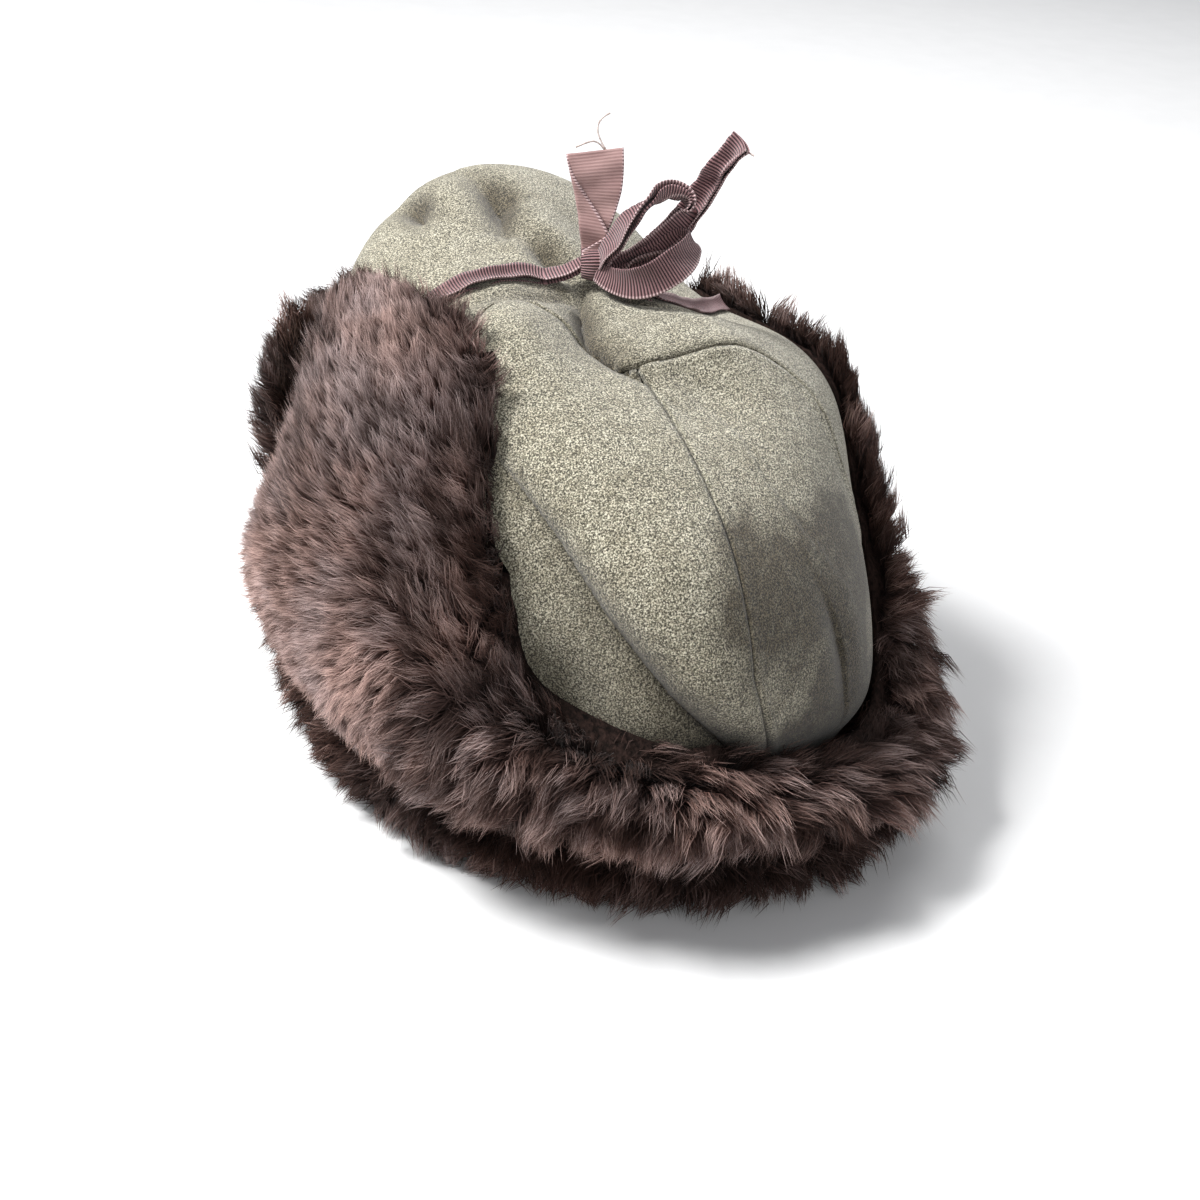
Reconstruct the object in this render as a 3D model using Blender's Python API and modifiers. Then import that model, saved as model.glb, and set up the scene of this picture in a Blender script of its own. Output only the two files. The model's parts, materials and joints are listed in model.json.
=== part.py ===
"""A winter hat of felted wool and brown fur, with its flaps turned up and tied on top.

The felt crown is sewn from three panels. It stands on a roll of fur round its rim. A long
flap runs from ear to ear round the nape and a shorter one covers the brow: both are turned up
against the crown with their fur outside. A ribbon from each ear flap is tied in a bow on top.

Metres, +Z up. The brow faces -Y and the wearer's left is +X. The origin is on the surface that
the hat rests on, under the middle of its bounding box.

A place on the crown is given as a bearing and a reach. The bearing is in degrees, from 0 at the
nape to 90 at the left ear and 180 at the brow. The reach is 0 at the top and 1 at the felt's rim.
"""

import math
import random

import bmesh
import bpy
from mathutils import Vector

HEAD_WIDTH = 0.158  # inside the felt rim, ear to ear
HEAD_LENGTH = 0.204  # inside the felt rim, brow to nape
CROWN_RISE = 0.130  # felt rim to the top of the crown
FELT = 0.0022
SEAM_GAP = 0.0006  # between two panels that are sewn together
SEAT_GAP = 0.0003  # between pieces that rest on each other

ROLL_HEIGHT = 0.030  # fur roll under the felt rim
ROLL_OUT = 0.038  # how far the roll stands out from the felt, at the nape
ROLL_IN = 0.013  # how far it reaches inside the felt

BACKING = 0.002  # leather that the fur grows on
CROWN_CLEARANCE = 0.0013  # between the crown and the flaps turned up against it
EAR_PILE = 0.030
BROW_PILE = 0.022
FLAP_LEAN = 0.012  # how far the nape's upper edge leans away from the crown
FUR_TAPER = 0.55  # how much shorter the fur is at a flap's upper edge
LOCK_DEPTH = 0.0045
LOCK_SLANT = 0.006  # how far a lock's tip hangs below its root
FOLD_DEPTH = 0.0065  # the deepest fold of the felt
FOLD_WIDTH = 0.006  # half the width of its bottom

RIBBON_WIDTH = 0.021
RIBBON = 0.001
KNOT_SIZE = 0.013
BOW_SIZE = 0.047  # from the knot to the tip of a tail

MIDDLE_ACROSS = 0.0091  # from the crown's own middle to that of the whole hat's box
MIDDLE_BACK = 0.0078

# Colour, then roughness.
FELT_FINISH = ((0.33, 0.31, 0.24, 1.0), 0.95)
FUR_FINISH = ((0.075, 0.042, 0.034, 1.0), 0.9)
RIBBON_FINISH = ((0.16, 0.075, 0.075, 1.0), 0.7)

# The crown's section along its three lines: width and length as shares of half the rim's, and
# height as a share of the crown's rise.
CROWN_COLUMNS = ("reach", "side", "brow", "nape", "side_rise", "brow_rise", "nape_rise")
CROWN_SECTIONS = (
    (0.00, 0.00, 0.00, 0.00, 1.00, 1.00, 1.00),
    (0.12, 0.33, 0.32, 0.27, 0.99, 1.05, 0.97),
    (0.25, 0.66, 0.63, 0.54, 0.95, 1.11, 0.89),
    (0.40, 0.93, 0.90, 0.84, 0.83, 1.06, 0.75),
    (0.55, 1.05, 1.01, 1.05, 0.63, 0.86, 0.56),
    (0.70, 1.07, 1.03, 1.16, 0.41, 0.57, 0.37),
    (0.85, 1.05, 1.01, 1.16, 0.20, 0.28, 0.17),
    (1.00, 1.00, 1.00, 1.03, 0.00, 0.00, 0.00),
    (1.20, 0.95, 0.95, 0.98, -0.22, -0.22, -0.22),
)
SQUARENESS = 2.4  # of the rim's outline, where 2 is an ellipse
STEP = 0.01  # a short step along the crown, as a share of it, to find which way it faces


def shares(columns, rows):
    """A table's columns by name, each as a list."""
    return {name: [row[i] for row in rows] for i, name in enumerate(columns)}


def smooth(places, values, at):
    """The value at a place between the listed ones, on a smooth curve through them."""
    at = min(max(at, places[0]), places[-1])
    i = max(k for k in range(len(places) - 1) if places[k] <= at or k == 0)

    def slope(k):
        low, high = max(k - 1, 0), min(k + 1, len(places) - 1)
        return (values[high] - values[low]) / (places[high] - places[low])

    step = places[i + 1] - places[i]
    t = (at - places[i]) / step
    start = values[i] * (2 * t**3 - 3 * t**2 + 1) + values[i + 1] * (3 * t**2 - 2 * t**3)
    return start + step * (slope(i) * (t**3 - 2 * t**2 + t) + slope(i + 1) * (t**3 - t**2))


CROWN = shares(CROWN_COLUMNS, CROWN_SECTIONS)
HALF_WIDTH = HEAD_WIDTH / 2 + FELT
HALF_LENGTH = HEAD_LENGTH / 2 + FELT


def blank_crown(bearing, reach):
    """The crown's outer surface before any fold, from the crown's own centre."""
    angle = math.radians(bearing)
    end = "brow" if math.cos(angle) < 0 else "nape"
    width = HALF_WIDTH * smooth(CROWN["reach"], CROWN["side"], reach)
    length = HALF_LENGTH * smooth(CROWN["reach"], CROWN[end], reach)
    side_rise = smooth(CROWN["reach"], CROWN["side_rise"], reach)
    end_rise = smooth(CROWN["reach"], CROWN[end + "_rise"], reach)
    rise = side_rise + (end_rise - side_rise) * math.cos(angle) ** 2
    fullness = 1 + (corner_fullness(angle) - 1) * min(reach, 1.0)
    return Vector(
        (
            width * math.sin(angle) * fullness,
            length * math.cos(angle) * fullness,
            ROLL_HEIGHT + SEAT_GAP + CROWN_RISE * rise,
        )
    )


def corner_fullness(angle):
    """How much wider than an ellipse the rim is in this direction."""
    total = abs(math.sin(angle)) ** SQUARENESS + abs(math.cos(angle)) ** SQUARENESS
    return total ** (-1 / SQUARENESS)


# Each fold runs through its rows' places on the crown laid flat, across to the wearer's left and
# back to the nape. Depth and lap are shares of FOLD_DEPTH: how deep the fold is, and how far the
# felt on its left stands over it. Spread is how far that felt's bulge reaches, laid flat.
FOLD_COLUMNS = ("fold", "across", "back", "depth", "lap", "spread")
FOLDS = (
    ("crease", 0.36, 0.26, 0.10, 0.20, 0.10),
    ("crease", 0.33, 0.38, 0.60, 0.60, 0.12),
    ("crease", 0.29, 0.54, 0.90, 1.00, 0.14),
    ("crease", 0.20, 0.71, 0.90, 1.00, 0.14),
    ("crease", 0.04, 0.92, 0.50, 0.60, 0.12),
    ("by_knot", 0.05, 0.22, 0.30, 0.10, 0.10),
    ("by_knot", 0.08, 0.13, 0.90, 0.40, 0.10),
    ("by_knot", 0.05, 0.05, 1.00, 0.40, 0.10),
    ("by_knot", 0.03, 0.00, 0.60, 0.10, 0.10),
    ("brow_outer", 0.19, -0.34, 0.30, 0.00, 0.10),
    ("brow_outer", 0.19, -0.22, 0.50, 0.00, 0.10),
    ("brow_inner", 0.07, -0.27, 0.30, 0.00, 0.10),
    ("brow_inner", 0.08, -0.13, 0.60, 0.00, 0.10),
)
# Broad hollows where the crown is pressed in: place laid flat, depth as a share of FOLD_DEPTH,
# and radius laid flat.
CALM_RIM = 0.17  # the folds fade out over this much of the reach, next to the rim
PRESS_COLUMNS = ("across", "back", "depth", "radius")
PRESSES = (
    (-0.40, 0.30, 1.60, 0.26),
    (0.42, 0.56, 0.60, 0.14),
    (0.02, 0.10, 0.50, 0.12),
)


def fold_rows(name):
    return [dict(zip(FOLD_COLUMNS, row)) for row in FOLDS if row[0] == name]


def lift_of_fold(rows, place):
    """How far one fold raises or sinks the felt at a place on the crown laid flat."""
    narrow = FOLD_WIDTH / HALF_WIDTH
    best = None
    for start, end in zip(rows, rows[1:]):
        first = Vector((start["across"], start["back"]))
        run = Vector((end["across"], end["back"])) - first
        share = (place - first).dot(run) / run.length_squared
        share = min(max(share, 0.0), 1.0)
        offset = place - first - run * share
        if best is None or offset.length < best[0]:
            side = run.x * offset.y - run.y * offset.x
            value = {key: start[key] + (end[key] - start[key]) * share for key in FOLD_COLUMNS[3:]}
            best = (offset.length, side, value)
    distance, side, value = best
    lift = -value["depth"] * math.exp(-((distance / narrow) ** 2))
    if side > 0:
        lift += value["lap"] * math.tanh(distance / narrow) * math.exp(-distance / value["spread"])
    return lift * FOLD_DEPTH


def lift_of_press(row, place):
    press = dict(zip(PRESS_COLUMNS, row))
    distance = (place - Vector((press["across"], press["back"]))).length
    return -press["depth"] * FOLD_DEPTH * math.exp(-((distance / press["radius"]) ** 2))


def fold_lift(bearing, reach):
    """How far all the folds together raise the felt here."""
    angle = math.radians(bearing)
    place = Vector((reach * math.sin(angle), reach * math.cos(angle)))
    names = sorted({row[0] for row in FOLDS})
    folds = sum(lift_of_fold(fold_rows(name), place) for name in names)
    presses = sum(lift_of_press(row, place) for row in PRESSES)
    return (folds + presses) * min(1.0, max(0.0, 1 - reach) / CALM_RIM)


def crown_normal(bearing, reach):
    """The direction out of the crown, from two short steps on its surface."""
    reach = max(reach, 2 * STEP)
    down = blank_crown(bearing, reach + STEP) - blank_crown(bearing, reach - STEP)
    turn = math.degrees(STEP)
    along = blank_crown(bearing + turn, reach) - blank_crown(bearing - turn, reach)
    return along.cross(down).normalized()


def crown_point(bearing, reach, lift=0.0):
    """A point on the folded crown, or held off it by lift."""
    lift += fold_lift(bearing, reach)
    return blank_crown(bearing, reach) + crown_normal(bearing, reach) * lift


def polar(across, back):
    """The bearing and reach of a place on the crown laid flat."""
    return math.degrees(math.atan2(across, back)), math.hypot(across, back)


def sheet(across, along, place):
    """A grid of faces whose every corner is put where place(u, v) says."""
    bm = bmesh.new()
    bmesh.ops.create_grid(bm, x_segments=across, y_segments=along, size=0.5)
    for corner in bm.verts:
        corner.co = place(corner.co.x + 0.5, corner.co.y + 0.5)
    return bm


def add_object(name, bm, finish, thickness=0.0):
    """Makes the mesh a named object of the hat, with a wall if it's an open sheet."""
    mesh = bpy.data.meshes.new(name)
    bm.to_mesh(mesh)
    bm.free()
    mesh.shade_smooth()
    mesh.materials.append(material_of(name, *finish))
    piece = bpy.data.objects.new(name, mesh)
    HAT.objects.link(piece)
    piece.parent = CENTRE
    if thickness:
        wall = piece.modifiers.new("wall", "SOLIDIFY")
        wall.thickness = thickness
        wall.offset = -1
    return piece


def material_of(name, colour, roughness):
    material = bpy.data.materials.new(name)
    material.use_nodes = True
    shader = material.node_tree.nodes["Principled BSDF"]
    shader.inputs["Base Color"].default_value = colour
    shader.inputs["Roughness"].default_value = roughness
    shader.inputs["Metallic"].default_value = 0.0
    return material


# Crown panels

SEAM_BEARING = 76.0  # where the seam over the crown meets the rim at each ear
BROW_CORNER = 142.0
NAPE_CORNER = 40.0
FRONT_GRID = (32, 14)
BACK_GRID = (16, 15)
# The seam over the crown, laid flat: it dips to the brow where the felt is gathered by the knot.
SEAM_COLUMNS = ("across", "back")
SEAM_OVER_CROWN = (
    (-0.97, 0.24),
    (-0.62, 0.36),
    (-0.40, 0.33),
    (-0.28, 0.24),
    (-0.15, 0.19),
    (0.00, 0.20),
    (0.06, 0.15),
    (0.11, 0.06),
    (0.16, 0.03),
    (0.24, 0.07),
    (0.40, 0.22),
    (0.97, 0.24),
)
SEAM = shares(SEAM_COLUMNS, SEAM_OVER_CROWN)
SEAM_EVENNESS = 0.55  # its points lie closer together by the knot, and evenly at 1


def blend_of_edges(first, last, low, high):
    """A point of the flat patch between four edge curves, each a function of 0 to 1."""

    def place(u, v):
        across = Vector(first(u)) * (1 - v) + Vector(last(u)) * v
        along = Vector(low(v)) * (1 - u) + Vector(high(v)) * u
        corners = (
            Vector(first(0)) * (1 - u) * (1 - v)
            + Vector(first(1)) * u * (1 - v)
            + Vector(last(0)) * (1 - u) * v
            + Vector(last(1)) * u * v
        )
        return across + along - corners

    return place


def rim(start, end):
    def place(t):
        angle = math.radians(start + (end - start) * t)
        return math.sin(angle), math.cos(angle)

    return place


def cross_seam(share, gap=0.0):
    """The seam over the crown, at a share of the way from its middle to the left ear."""

    def at(across):
        return Vector((across, smooth(SEAM["across"], SEAM["back"], across)))

    ear = math.sin(math.radians(SEAM_BEARING))
    across = ear * (SEAM_EVENNESS * share + (1 - SEAM_EVENNESS) * share**3)
    run = at(across + STEP) - at(across - STEP)
    outward = Vector((-run.y, run.x)).normalized()
    return at(across) + outward * gap / HALF_WIDTH


def centre_seam(side):
    def place(t):
        start = cross_seam(0, SEAM_GAP / 2)
        return Vector((side * SEAM_GAP / 2 / HALF_WIDTH, start.y + (1 - start.y) * t))

    return place


def crown_front():
    patch = blend_of_edges(
        lambda u: cross_seam(1 - 2 * u, -SEAM_GAP / 2),
        rim(BROW_CORNER, 360 - BROW_CORNER),
        rim_from(cross_seam(1, -SEAM_GAP / 2), BROW_CORNER),
        rim_from(cross_seam(-1, -SEAM_GAP / 2), -BROW_CORNER),
    )

    def place(u, v):
        return crown_point(*polar(*patch(u, v)))

    add_object("crown_front", sheet(*FRONT_GRID, place), FELT_FINISH, FELT)


def rim_from(corner, end):
    """The rim from a seam's end on it to a bearing, with the seam's gap kept."""
    start = polar(*corner)[0]
    return rim(start, end)


def crown_back(name, side):
    edge = centre_seam(side)
    patch = blend_of_edges(
        lambda u: cross_seam(side * u, SEAM_GAP / 2) if u else edge(0),
        rim(0, side * NAPE_CORNER),
        edge,
        rim_from(cross_seam(side, SEAM_GAP / 2), side * NAPE_CORNER),
    )

    def place(u, v):
        if side < 0:
            u = 1 - u
        across, back = patch(u, v)
        if u == 0:
            across = edge(0).x
        return crown_point(*polar(across, back))

    add_object(name, sheet(*BACK_GRID, place), FELT_FINISH, FELT)


# Fur


def rolled(around, along, place, joined=False):
    """A closed body whose section at each v runs round from u of 0 to 1."""
    bm = sheet(around, along, place)
    bmesh.ops.remove_doubles(bm, verts=bm.verts, dist=1e-6)
    if not joined:
        ends = [edge for edge in bm.edges if edge.is_boundary]
        bmesh.ops.holes_fill(bm, edges=ends, sides=0)
        big = [face for face in bm.faces if len(face.verts) > 4]
        bmesh.ops.triangulate(bm, faces=big)
    bmesh.ops.recalc_face_normals(bm, faces=bm.faces)
    return bm


# Turned-up edge of the flap that runs round the nape, from the right ear to the left.
FLAP_COLUMNS = ("station", "bearing", "reach", "lean", "pile")
FLAP_EDGE = (
    (-1.00, -122, 0.50, 0.2, 0.40),
    (-0.92, -112, 0.46, 0.2, 0.40),
    (-0.82, -96, 0.46, 0.2, 0.40),
    (-0.68, -80, 0.55, 0.2, 0.42),
    (-0.55, -68, 0.68, 0.2, 0.50),
    (-0.40, -48, 0.80, 0.4, 0.90),
    (-0.20, -25, 0.86, 0.5, 1.10),
    (0.00, 0, 0.86, 0.5, 1.00),
    (0.20, 24, 0.80, 0.4, 1.00),
    (0.40, 42, 0.74, 0.3, 1.00),
    (0.55, 50, 0.56, 0.2, 1.10),
    (0.70, 64, 0.36, 0.2, 1.12),
    (0.82, 90, 0.28, 0.2, 1.02),
    (0.92, 110, 0.33, 0.2, 0.88),
    (1.00, 122, 0.46, 0.2, 0.68),
)
FLAP_FOOT = 112.0  # bearing of the flap's front corners at the rim
FLAP_COLUMN_COUNT = 90
FLAP_ROWS = 11
BACKING_ROWS = 6
OVERHANG = 0.06  # how far the fur reaches past a flap's upper edge, as a share of its height
BACKING_TOP = 0.99  # upper edge of the backing, as a share of the flap's height
FUR_FULLNESS = 0.48  # of the fur's section, which is squarer the lower this is
END_FUR = 0.35  # the fur's thickness at a flap's two ends, as a share
END_ROUNDING = 16  # the thinning starts nearer the ends the higher this is
LOCK_FULLNESS = 0.3
LOW_FLAP = 0.5  # the locks of a flap lower than this share of the crown hang less

BROW_SPAN = 64.0  # half the brow flap's width at the rim, in degrees
BROW_REACH = 0.62
BROW_COLUMN_COUNT = 36
BROW_NARROWING = 0.12
BROW_LEAN = 0.3
BROW_END_PILE = 0.75
LOCKS_FROM = 0.2  # height on a flap, as a share, where its locks start

FLAP = shares(FLAP_COLUMNS, FLAP_EDGE)


def flap_place(station, height):
    """Bearing and reach on the crown behind a place on the flap, and its lean and pile."""
    edge = {name: smooth(FLAP["station"], FLAP[name], station) for name in FLAP_COLUMNS[1:]}
    bearing = station * FLAP_FOOT * (1 - height) + edge["bearing"] * height
    reach = 1 - height + edge["reach"] * height
    return bearing, reach, edge["lean"] * FLAP_LEAN, edge["pile"] * EAR_PILE


def brow_place(station, height):
    bearing = 180 - station * BROW_SPAN * (1 - BROW_NARROWING * height)
    reach = 1 - height * (1 - BROW_REACH)
    pile = BROW_PILE * (1 - (1 - BROW_END_PILE) * station**4)
    return bearing, reach, BROW_LEAN * FLAP_LEAN, pile


def lock_of(row, column, chance):
    """How far a corner stands out as the tip of a lock, and how far it hangs."""
    if (row + column) % 2:
        return 0.0, 0.0
    return LOCK_DEPTH * chance.uniform(0.7, 1.3), LOCK_SLANT * chance.uniform(0.6, 1.2)


def fur_way(bearing, reach):
    """The way fur grows from the crown: out of it, and never downwards."""
    way = crown_normal(bearing, reach)
    way.z = max(way.z, 0.0)
    return way.normalized()


def fur_flap(name, place_of, columns, seed):
    """A backing against the crown with deep fur on it, whose locks are part of the solid."""
    chance = random.Random(seed)
    around = FLAP_ROWS + BACKING_ROWS
    locks = {
        (row, column): lock_of(row, column, chance)
        for row in range(around)
        for column in range(columns + 1)
    }

    def place(u, v):
        row, column = round(u * around) % around, round(v * columns)
        station = 2 * v - 1
        end = 1 - abs(station) ** END_ROUNDING
        bulge = bulge_of(row)
        if row <= FLAP_ROWS:
            height = 0.5 - (0.5 + OVERHANG) * math.cos(math.pi * row / FLAP_ROWS)
            thick = bulge**FUR_FULLNESS * (END_FUR + (1 - END_FUR) * end)
            thick *= 1 - FUR_TAPER * height**2
        else:
            height = BACKING_TOP - (row - FLAP_ROWS) / BACKING_ROWS
            thick = 0.0
        bearing, reach, lean, pile = place_of(station, max(height, 0.0))
        lift = CROWN_CLEARANCE + lean * max(height, 0.0)
        loose = row < FLAP_ROWS and height > LOCKS_FROM
        out, hang = locks[row, column] if loose else (0.0, 0.0)
        lift += (BACKING + pile) * thick + out * end * bulge**LOCK_FULLNESS
        point = crown_point(bearing, reach) + fur_way(bearing, reach) * lift
        tall = 1 - place_of(station, 1)[1]
        point.z -= hang * bulge * min(1.0, tall / LOW_FLAP)
        point.z = max(point.z, ROLL_HEIGHT + SEAT_GAP)
        return point

    add_object(name, rolled(around, columns, place), FUR_FINISH)


def bulge_of(row):
    """How full the fur is at a row of its section: 0 at both edges and 1 between them."""
    return max(0.0, math.sin(math.pi * min(row, FLAP_ROWS) / FLAP_ROWS))


ROLL_COLUMNS = 80
ROLL_ROWS = (
    # Out from the felt rim as a share of the roll's reach, height, and whether locks stand there.
    (-0.35, 1.00, False),
    (-1.00, 0.55, False),
    (-0.75, 0.08, False),
    (-0.10, 0.00, False),
    (0.45, 0.00, False),
    (0.85, 0.16, True),
    (1.00, 0.40, True),
    (0.95, 0.66, True),
    (0.70, 0.88, False),
    (0.25, 1.00, False),
)


ROLL_SPREAD_COLUMNS = ("bearing", "out")
ROLL_SPREAD = (
    # How far the roll stands out round the rim, as a share of ROLL_OUT.
    (-180, 0.65),
    (-120, 0.50),
    (-75, 0.55),
    (-45, 0.80),
    (-20, 0.98),
    (0, 0.92),
    (35, 0.62),
    (65, 0.70),
    (120, 0.64),
    (180, 0.65),
)
SPREAD = shares(ROLL_SPREAD_COLUMNS, ROLL_SPREAD)


def fur_roll():
    """The ring of fur under the felt rim, flat where the felt sits and where it rests."""
    chance = random.Random(3)
    rows = len(ROLL_ROWS)
    locks = {
        (row, column): lock_of(row, column, chance)
        for row in range(rows)
        for column in range(ROLL_COLUMNS)
    }

    def place(u, v):
        row, column = round(u * rows) % rows, round(v * ROLL_COLUMNS) % ROLL_COLUMNS
        share, height, loose = ROLL_ROWS[row]
        bearing = 360 * column / ROLL_COLUMNS
        bearing -= 360 * (bearing > 180)
        wide = ROLL_OUT * smooth(SPREAD["bearing"], SPREAD["out"], bearing)
        out = share * (wide if share > 0 else ROLL_IN)
        depth, hang = locks[row, column] if loose else (0.0, 0.0)
        direction = crown_normal(bearing, 1)
        direction.z = 0
        point = blank_crown(bearing, 1) + direction.normalized() * (out + depth)
        point.z = max(height * ROLL_HEIGHT - hang / 2, 0.0)
        return point

    bm = rolled(rows, ROLL_COLUMNS, place, joined=True)
    add_object("rim_fur", bm, FUR_FINISH)


# Ribbons

RIBBON_COLUMNS = ("station", "bearing", "reach", "lift", "width")
RIBBON_ROUTES = {
    # From the ear flap's tip to the knot, over the crown. Lift and width are shares of the
    # ribbon's width.
    "ribbon_left": (
        (0.0, 96, 0.235, 0.20, 0.40),
        (0.3, 99, 0.17, 0.22, 0.34),
        (0.6, 106, 0.11, 0.24, 0.34),
        (1.0, 114, 0.055, 0.32, 0.30),
    ),
    "ribbon_right": (
        (0.0, -92, 0.33, 0.22, 0.35),
        (0.35, -76, 0.20, 0.25, 0.40),
        (0.7, -66, 0.10, 0.16, 0.35),
        (1.0, -84, 0.014, 0.18, 0.22),
    ),
}
BOW_COLUMNS = ("station", "x", "y", "z", "wide_x", "wide_y", "wide_z", "width")
BOW_ROUTES = {
    # From the knot's middle, in shares of BOW_SIZE; the way the ribbon's width points; and how
    # much of the width is seen where it's folded.
    "bow_tail_left": (
        (0.00, 0.06, -0.03, 0.15, -0.8, 0.6, -0.1, 0.35),
        (0.37, 0.01, -0.02, 0.33, -0.8, 0.6, -0.1, 0.60),
        (0.72, -0.02, -0.05, 0.55, -0.8, 0.6, -0.1, 0.85),
        (1.00, -0.04, -0.09, 0.73, -0.8, 0.6, -0.2, 0.95),
    ),
    "bow_tail_right": (
        (0.00, -0.155, -0.02, 0.05, 0.3, -0.3, 0.9, 0.26),
        (0.23, -0.36, 0.13, 0.15, 0.3, -0.3, 0.9, 0.42),
        (0.43, -0.54, 0.26, 0.28, 0.4, -0.3, 0.8, 0.50),
        (0.64, -0.66, 0.37, 0.50, 0.7, -0.3, 0.6, 0.60),
        (0.83, -0.75, 0.42, 0.71, 0.8, -0.3, 0.6, 0.60),
        (1.00, -0.82, 0.46, 0.90, 0.8, -0.3, 0.6, 0.75),
    ),
    "bow_loop_upper": (
        (0.00, -0.05, 0.08, 0.13, 0.6, 0.5, 0.6, 0.22),
        (0.17, -0.14, 0.24, 0.34, 0.6, 0.6, 0.6, 0.42),
        (0.35, -0.25, 0.32, 0.53, 0.5, 0.6, 0.6, 0.50),
        (0.50, -0.38, 0.42, 0.62, 0.4, 0.7, 0.6, 0.50),
        (0.60, -0.42, 0.47, 0.55, 0.3, 0.8, 0.5, 0.45),
        (0.70, -0.36, 0.44, 0.45, 0.3, 0.9, 0.4, 0.42),
        (0.83, -0.23, 0.36, 0.31, 0.2, 0.9, 0.3, 0.40),
        (1.00, -0.10, 0.155, 0.06, 0.2, 0.9, 0.3, 0.22),
    ),
    "bow_loop_lower": (
        (0.00, -0.01, 0.17, -0.03, 0.1, 0.5, 0.8, 0.26),
        (0.20, -0.16, 0.42, 0.00, 0.3, 0.5, 0.8, 0.50),
        (0.37, -0.33, 0.56, 0.09, 0.4, 0.6, 0.7, 0.55),
        (0.53, -0.48, 0.58, 0.20, 0.4, 0.6, 0.7, 0.55),
        (0.65, -0.47, 0.50, 0.24, 0.4, 0.7, 0.6, 0.45),
        (0.80, -0.32, 0.38, 0.13, 0.3, 0.8, 0.4, 0.32),
        (1.00, -0.16, 0.10, -0.03, 0.3, 0.9, 0.2, 0.20),
    ),
}
KNOT_REST = 0.0012  # how far the knot lies over the gathered felt
KNOT_BEARING = 140.0
KNOT_REACH = 0.025
KNOT_SHAPE = (1.1, 0.95, 0.85)
RIBBON_TROUGH = 0.1  # depth of a gathered ribbon's trough, as a share of its width
RIBBON_STEPS = 12
RIBBON_FOLDS = 3


def knot_middle():
    lift = KNOT_SIZE / 2 * KNOT_SHAPE[2] + KNOT_REST
    return crown_point(KNOT_BEARING, KNOT_REACH, lift)


def strip(name, path_of):
    """A ribbon along a path; path_of(t) gives its middle, the way its width points and that width.

    A ribbon that shows less than its width is gathered into a shallow trough.
    """

    def place(u, v):
        middle, wide, width = path_of(v)
        ahead = path_of(min(v + STEP, 1))[0] - path_of(max(v - STEP, 0))[0]
        wide = (wide - ahead * wide.dot(ahead) / ahead.length_squared).normalized()
        face = ahead.cross(wide).normalized()
        trough = RIBBON_TROUGH * RIBBON_WIDTH * math.sqrt(max(0.0, 1 - width**2)) * (4 * u * (1 - u))
        return middle + wide * (u - 0.5) * RIBBON_WIDTH * width - face * trough

    piece = add_object(name, sheet(RIBBON_FOLDS, RIBBON_STEPS, place), RIBBON_FINISH, RIBBON)
    piece.modifiers["wall"].offset = 0


def crown_ribbon(name):
    route = shares(RIBBON_COLUMNS, RIBBON_ROUTES[name])

    def path_of(t):
        at = {key: smooth(route["station"], route[key], t) for key in RIBBON_COLUMNS[1:]}
        middle = crown_point(at["bearing"], at["reach"], at["lift"] * RIBBON_WIDTH)
        return middle, Vector((0, 1, 0)), at["width"]

    strip(name, path_of)


def bow_ribbon(name):
    route = shares(BOW_COLUMNS, BOW_ROUTES[name])
    middle = knot_middle()

    def path_of(t):
        at = {key: smooth(route["station"], route[key], t) for key in BOW_COLUMNS[1:]}
        place = middle + Vector((at["x"], at["y"], at["z"])) * BOW_SIZE
        return place, Vector((at["wide_x"], at["wide_y"], at["wide_z"])), at["width"]

    strip(name, path_of)


def bow_knot():
    bm = bmesh.new()
    bmesh.ops.create_uvsphere(bm, u_segments=12, v_segments=8, radius=KNOT_SIZE / 2)
    bmesh.ops.scale(bm, vec=KNOT_SHAPE, verts=bm.verts)
    bmesh.ops.translate(bm, vec=knot_middle(), verts=bm.verts)
    add_object("bow_knot", bm, RIBBON_FINISH)


# Main

for old in list(bpy.data.objects):
    bpy.data.objects.remove(old)
HAT = bpy.data.collections.new("fur_hat")
bpy.context.scene.collection.children.link(HAT)
CENTRE = bpy.data.objects.new("hat_centre", None)
CENTRE.location = (-MIDDLE_ACROSS, -MIDDLE_BACK, 0.0)
HAT.objects.link(CENTRE)

crown_front()
crown_back("crown_back_left", 1)
crown_back("crown_back_right", -1)
fur_flap("ear_nape_flap", flap_place, FLAP_COLUMN_COUNT, 1)
fur_flap("brow_flap", brow_place, BROW_COLUMN_COUNT, 2)
fur_roll()
for ribbon in RIBBON_ROUTES:
    crown_ribbon(ribbon)
for ribbon in BOW_ROUTES:
    bow_ribbon(ribbon)
bow_knot()
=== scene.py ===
import json
import math

import bpy
import numpy as np
from mathutils import Matrix, Vector
from mathutils.bvhtree import BVHTree
from mathutils.kdtree import KDTree

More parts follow.
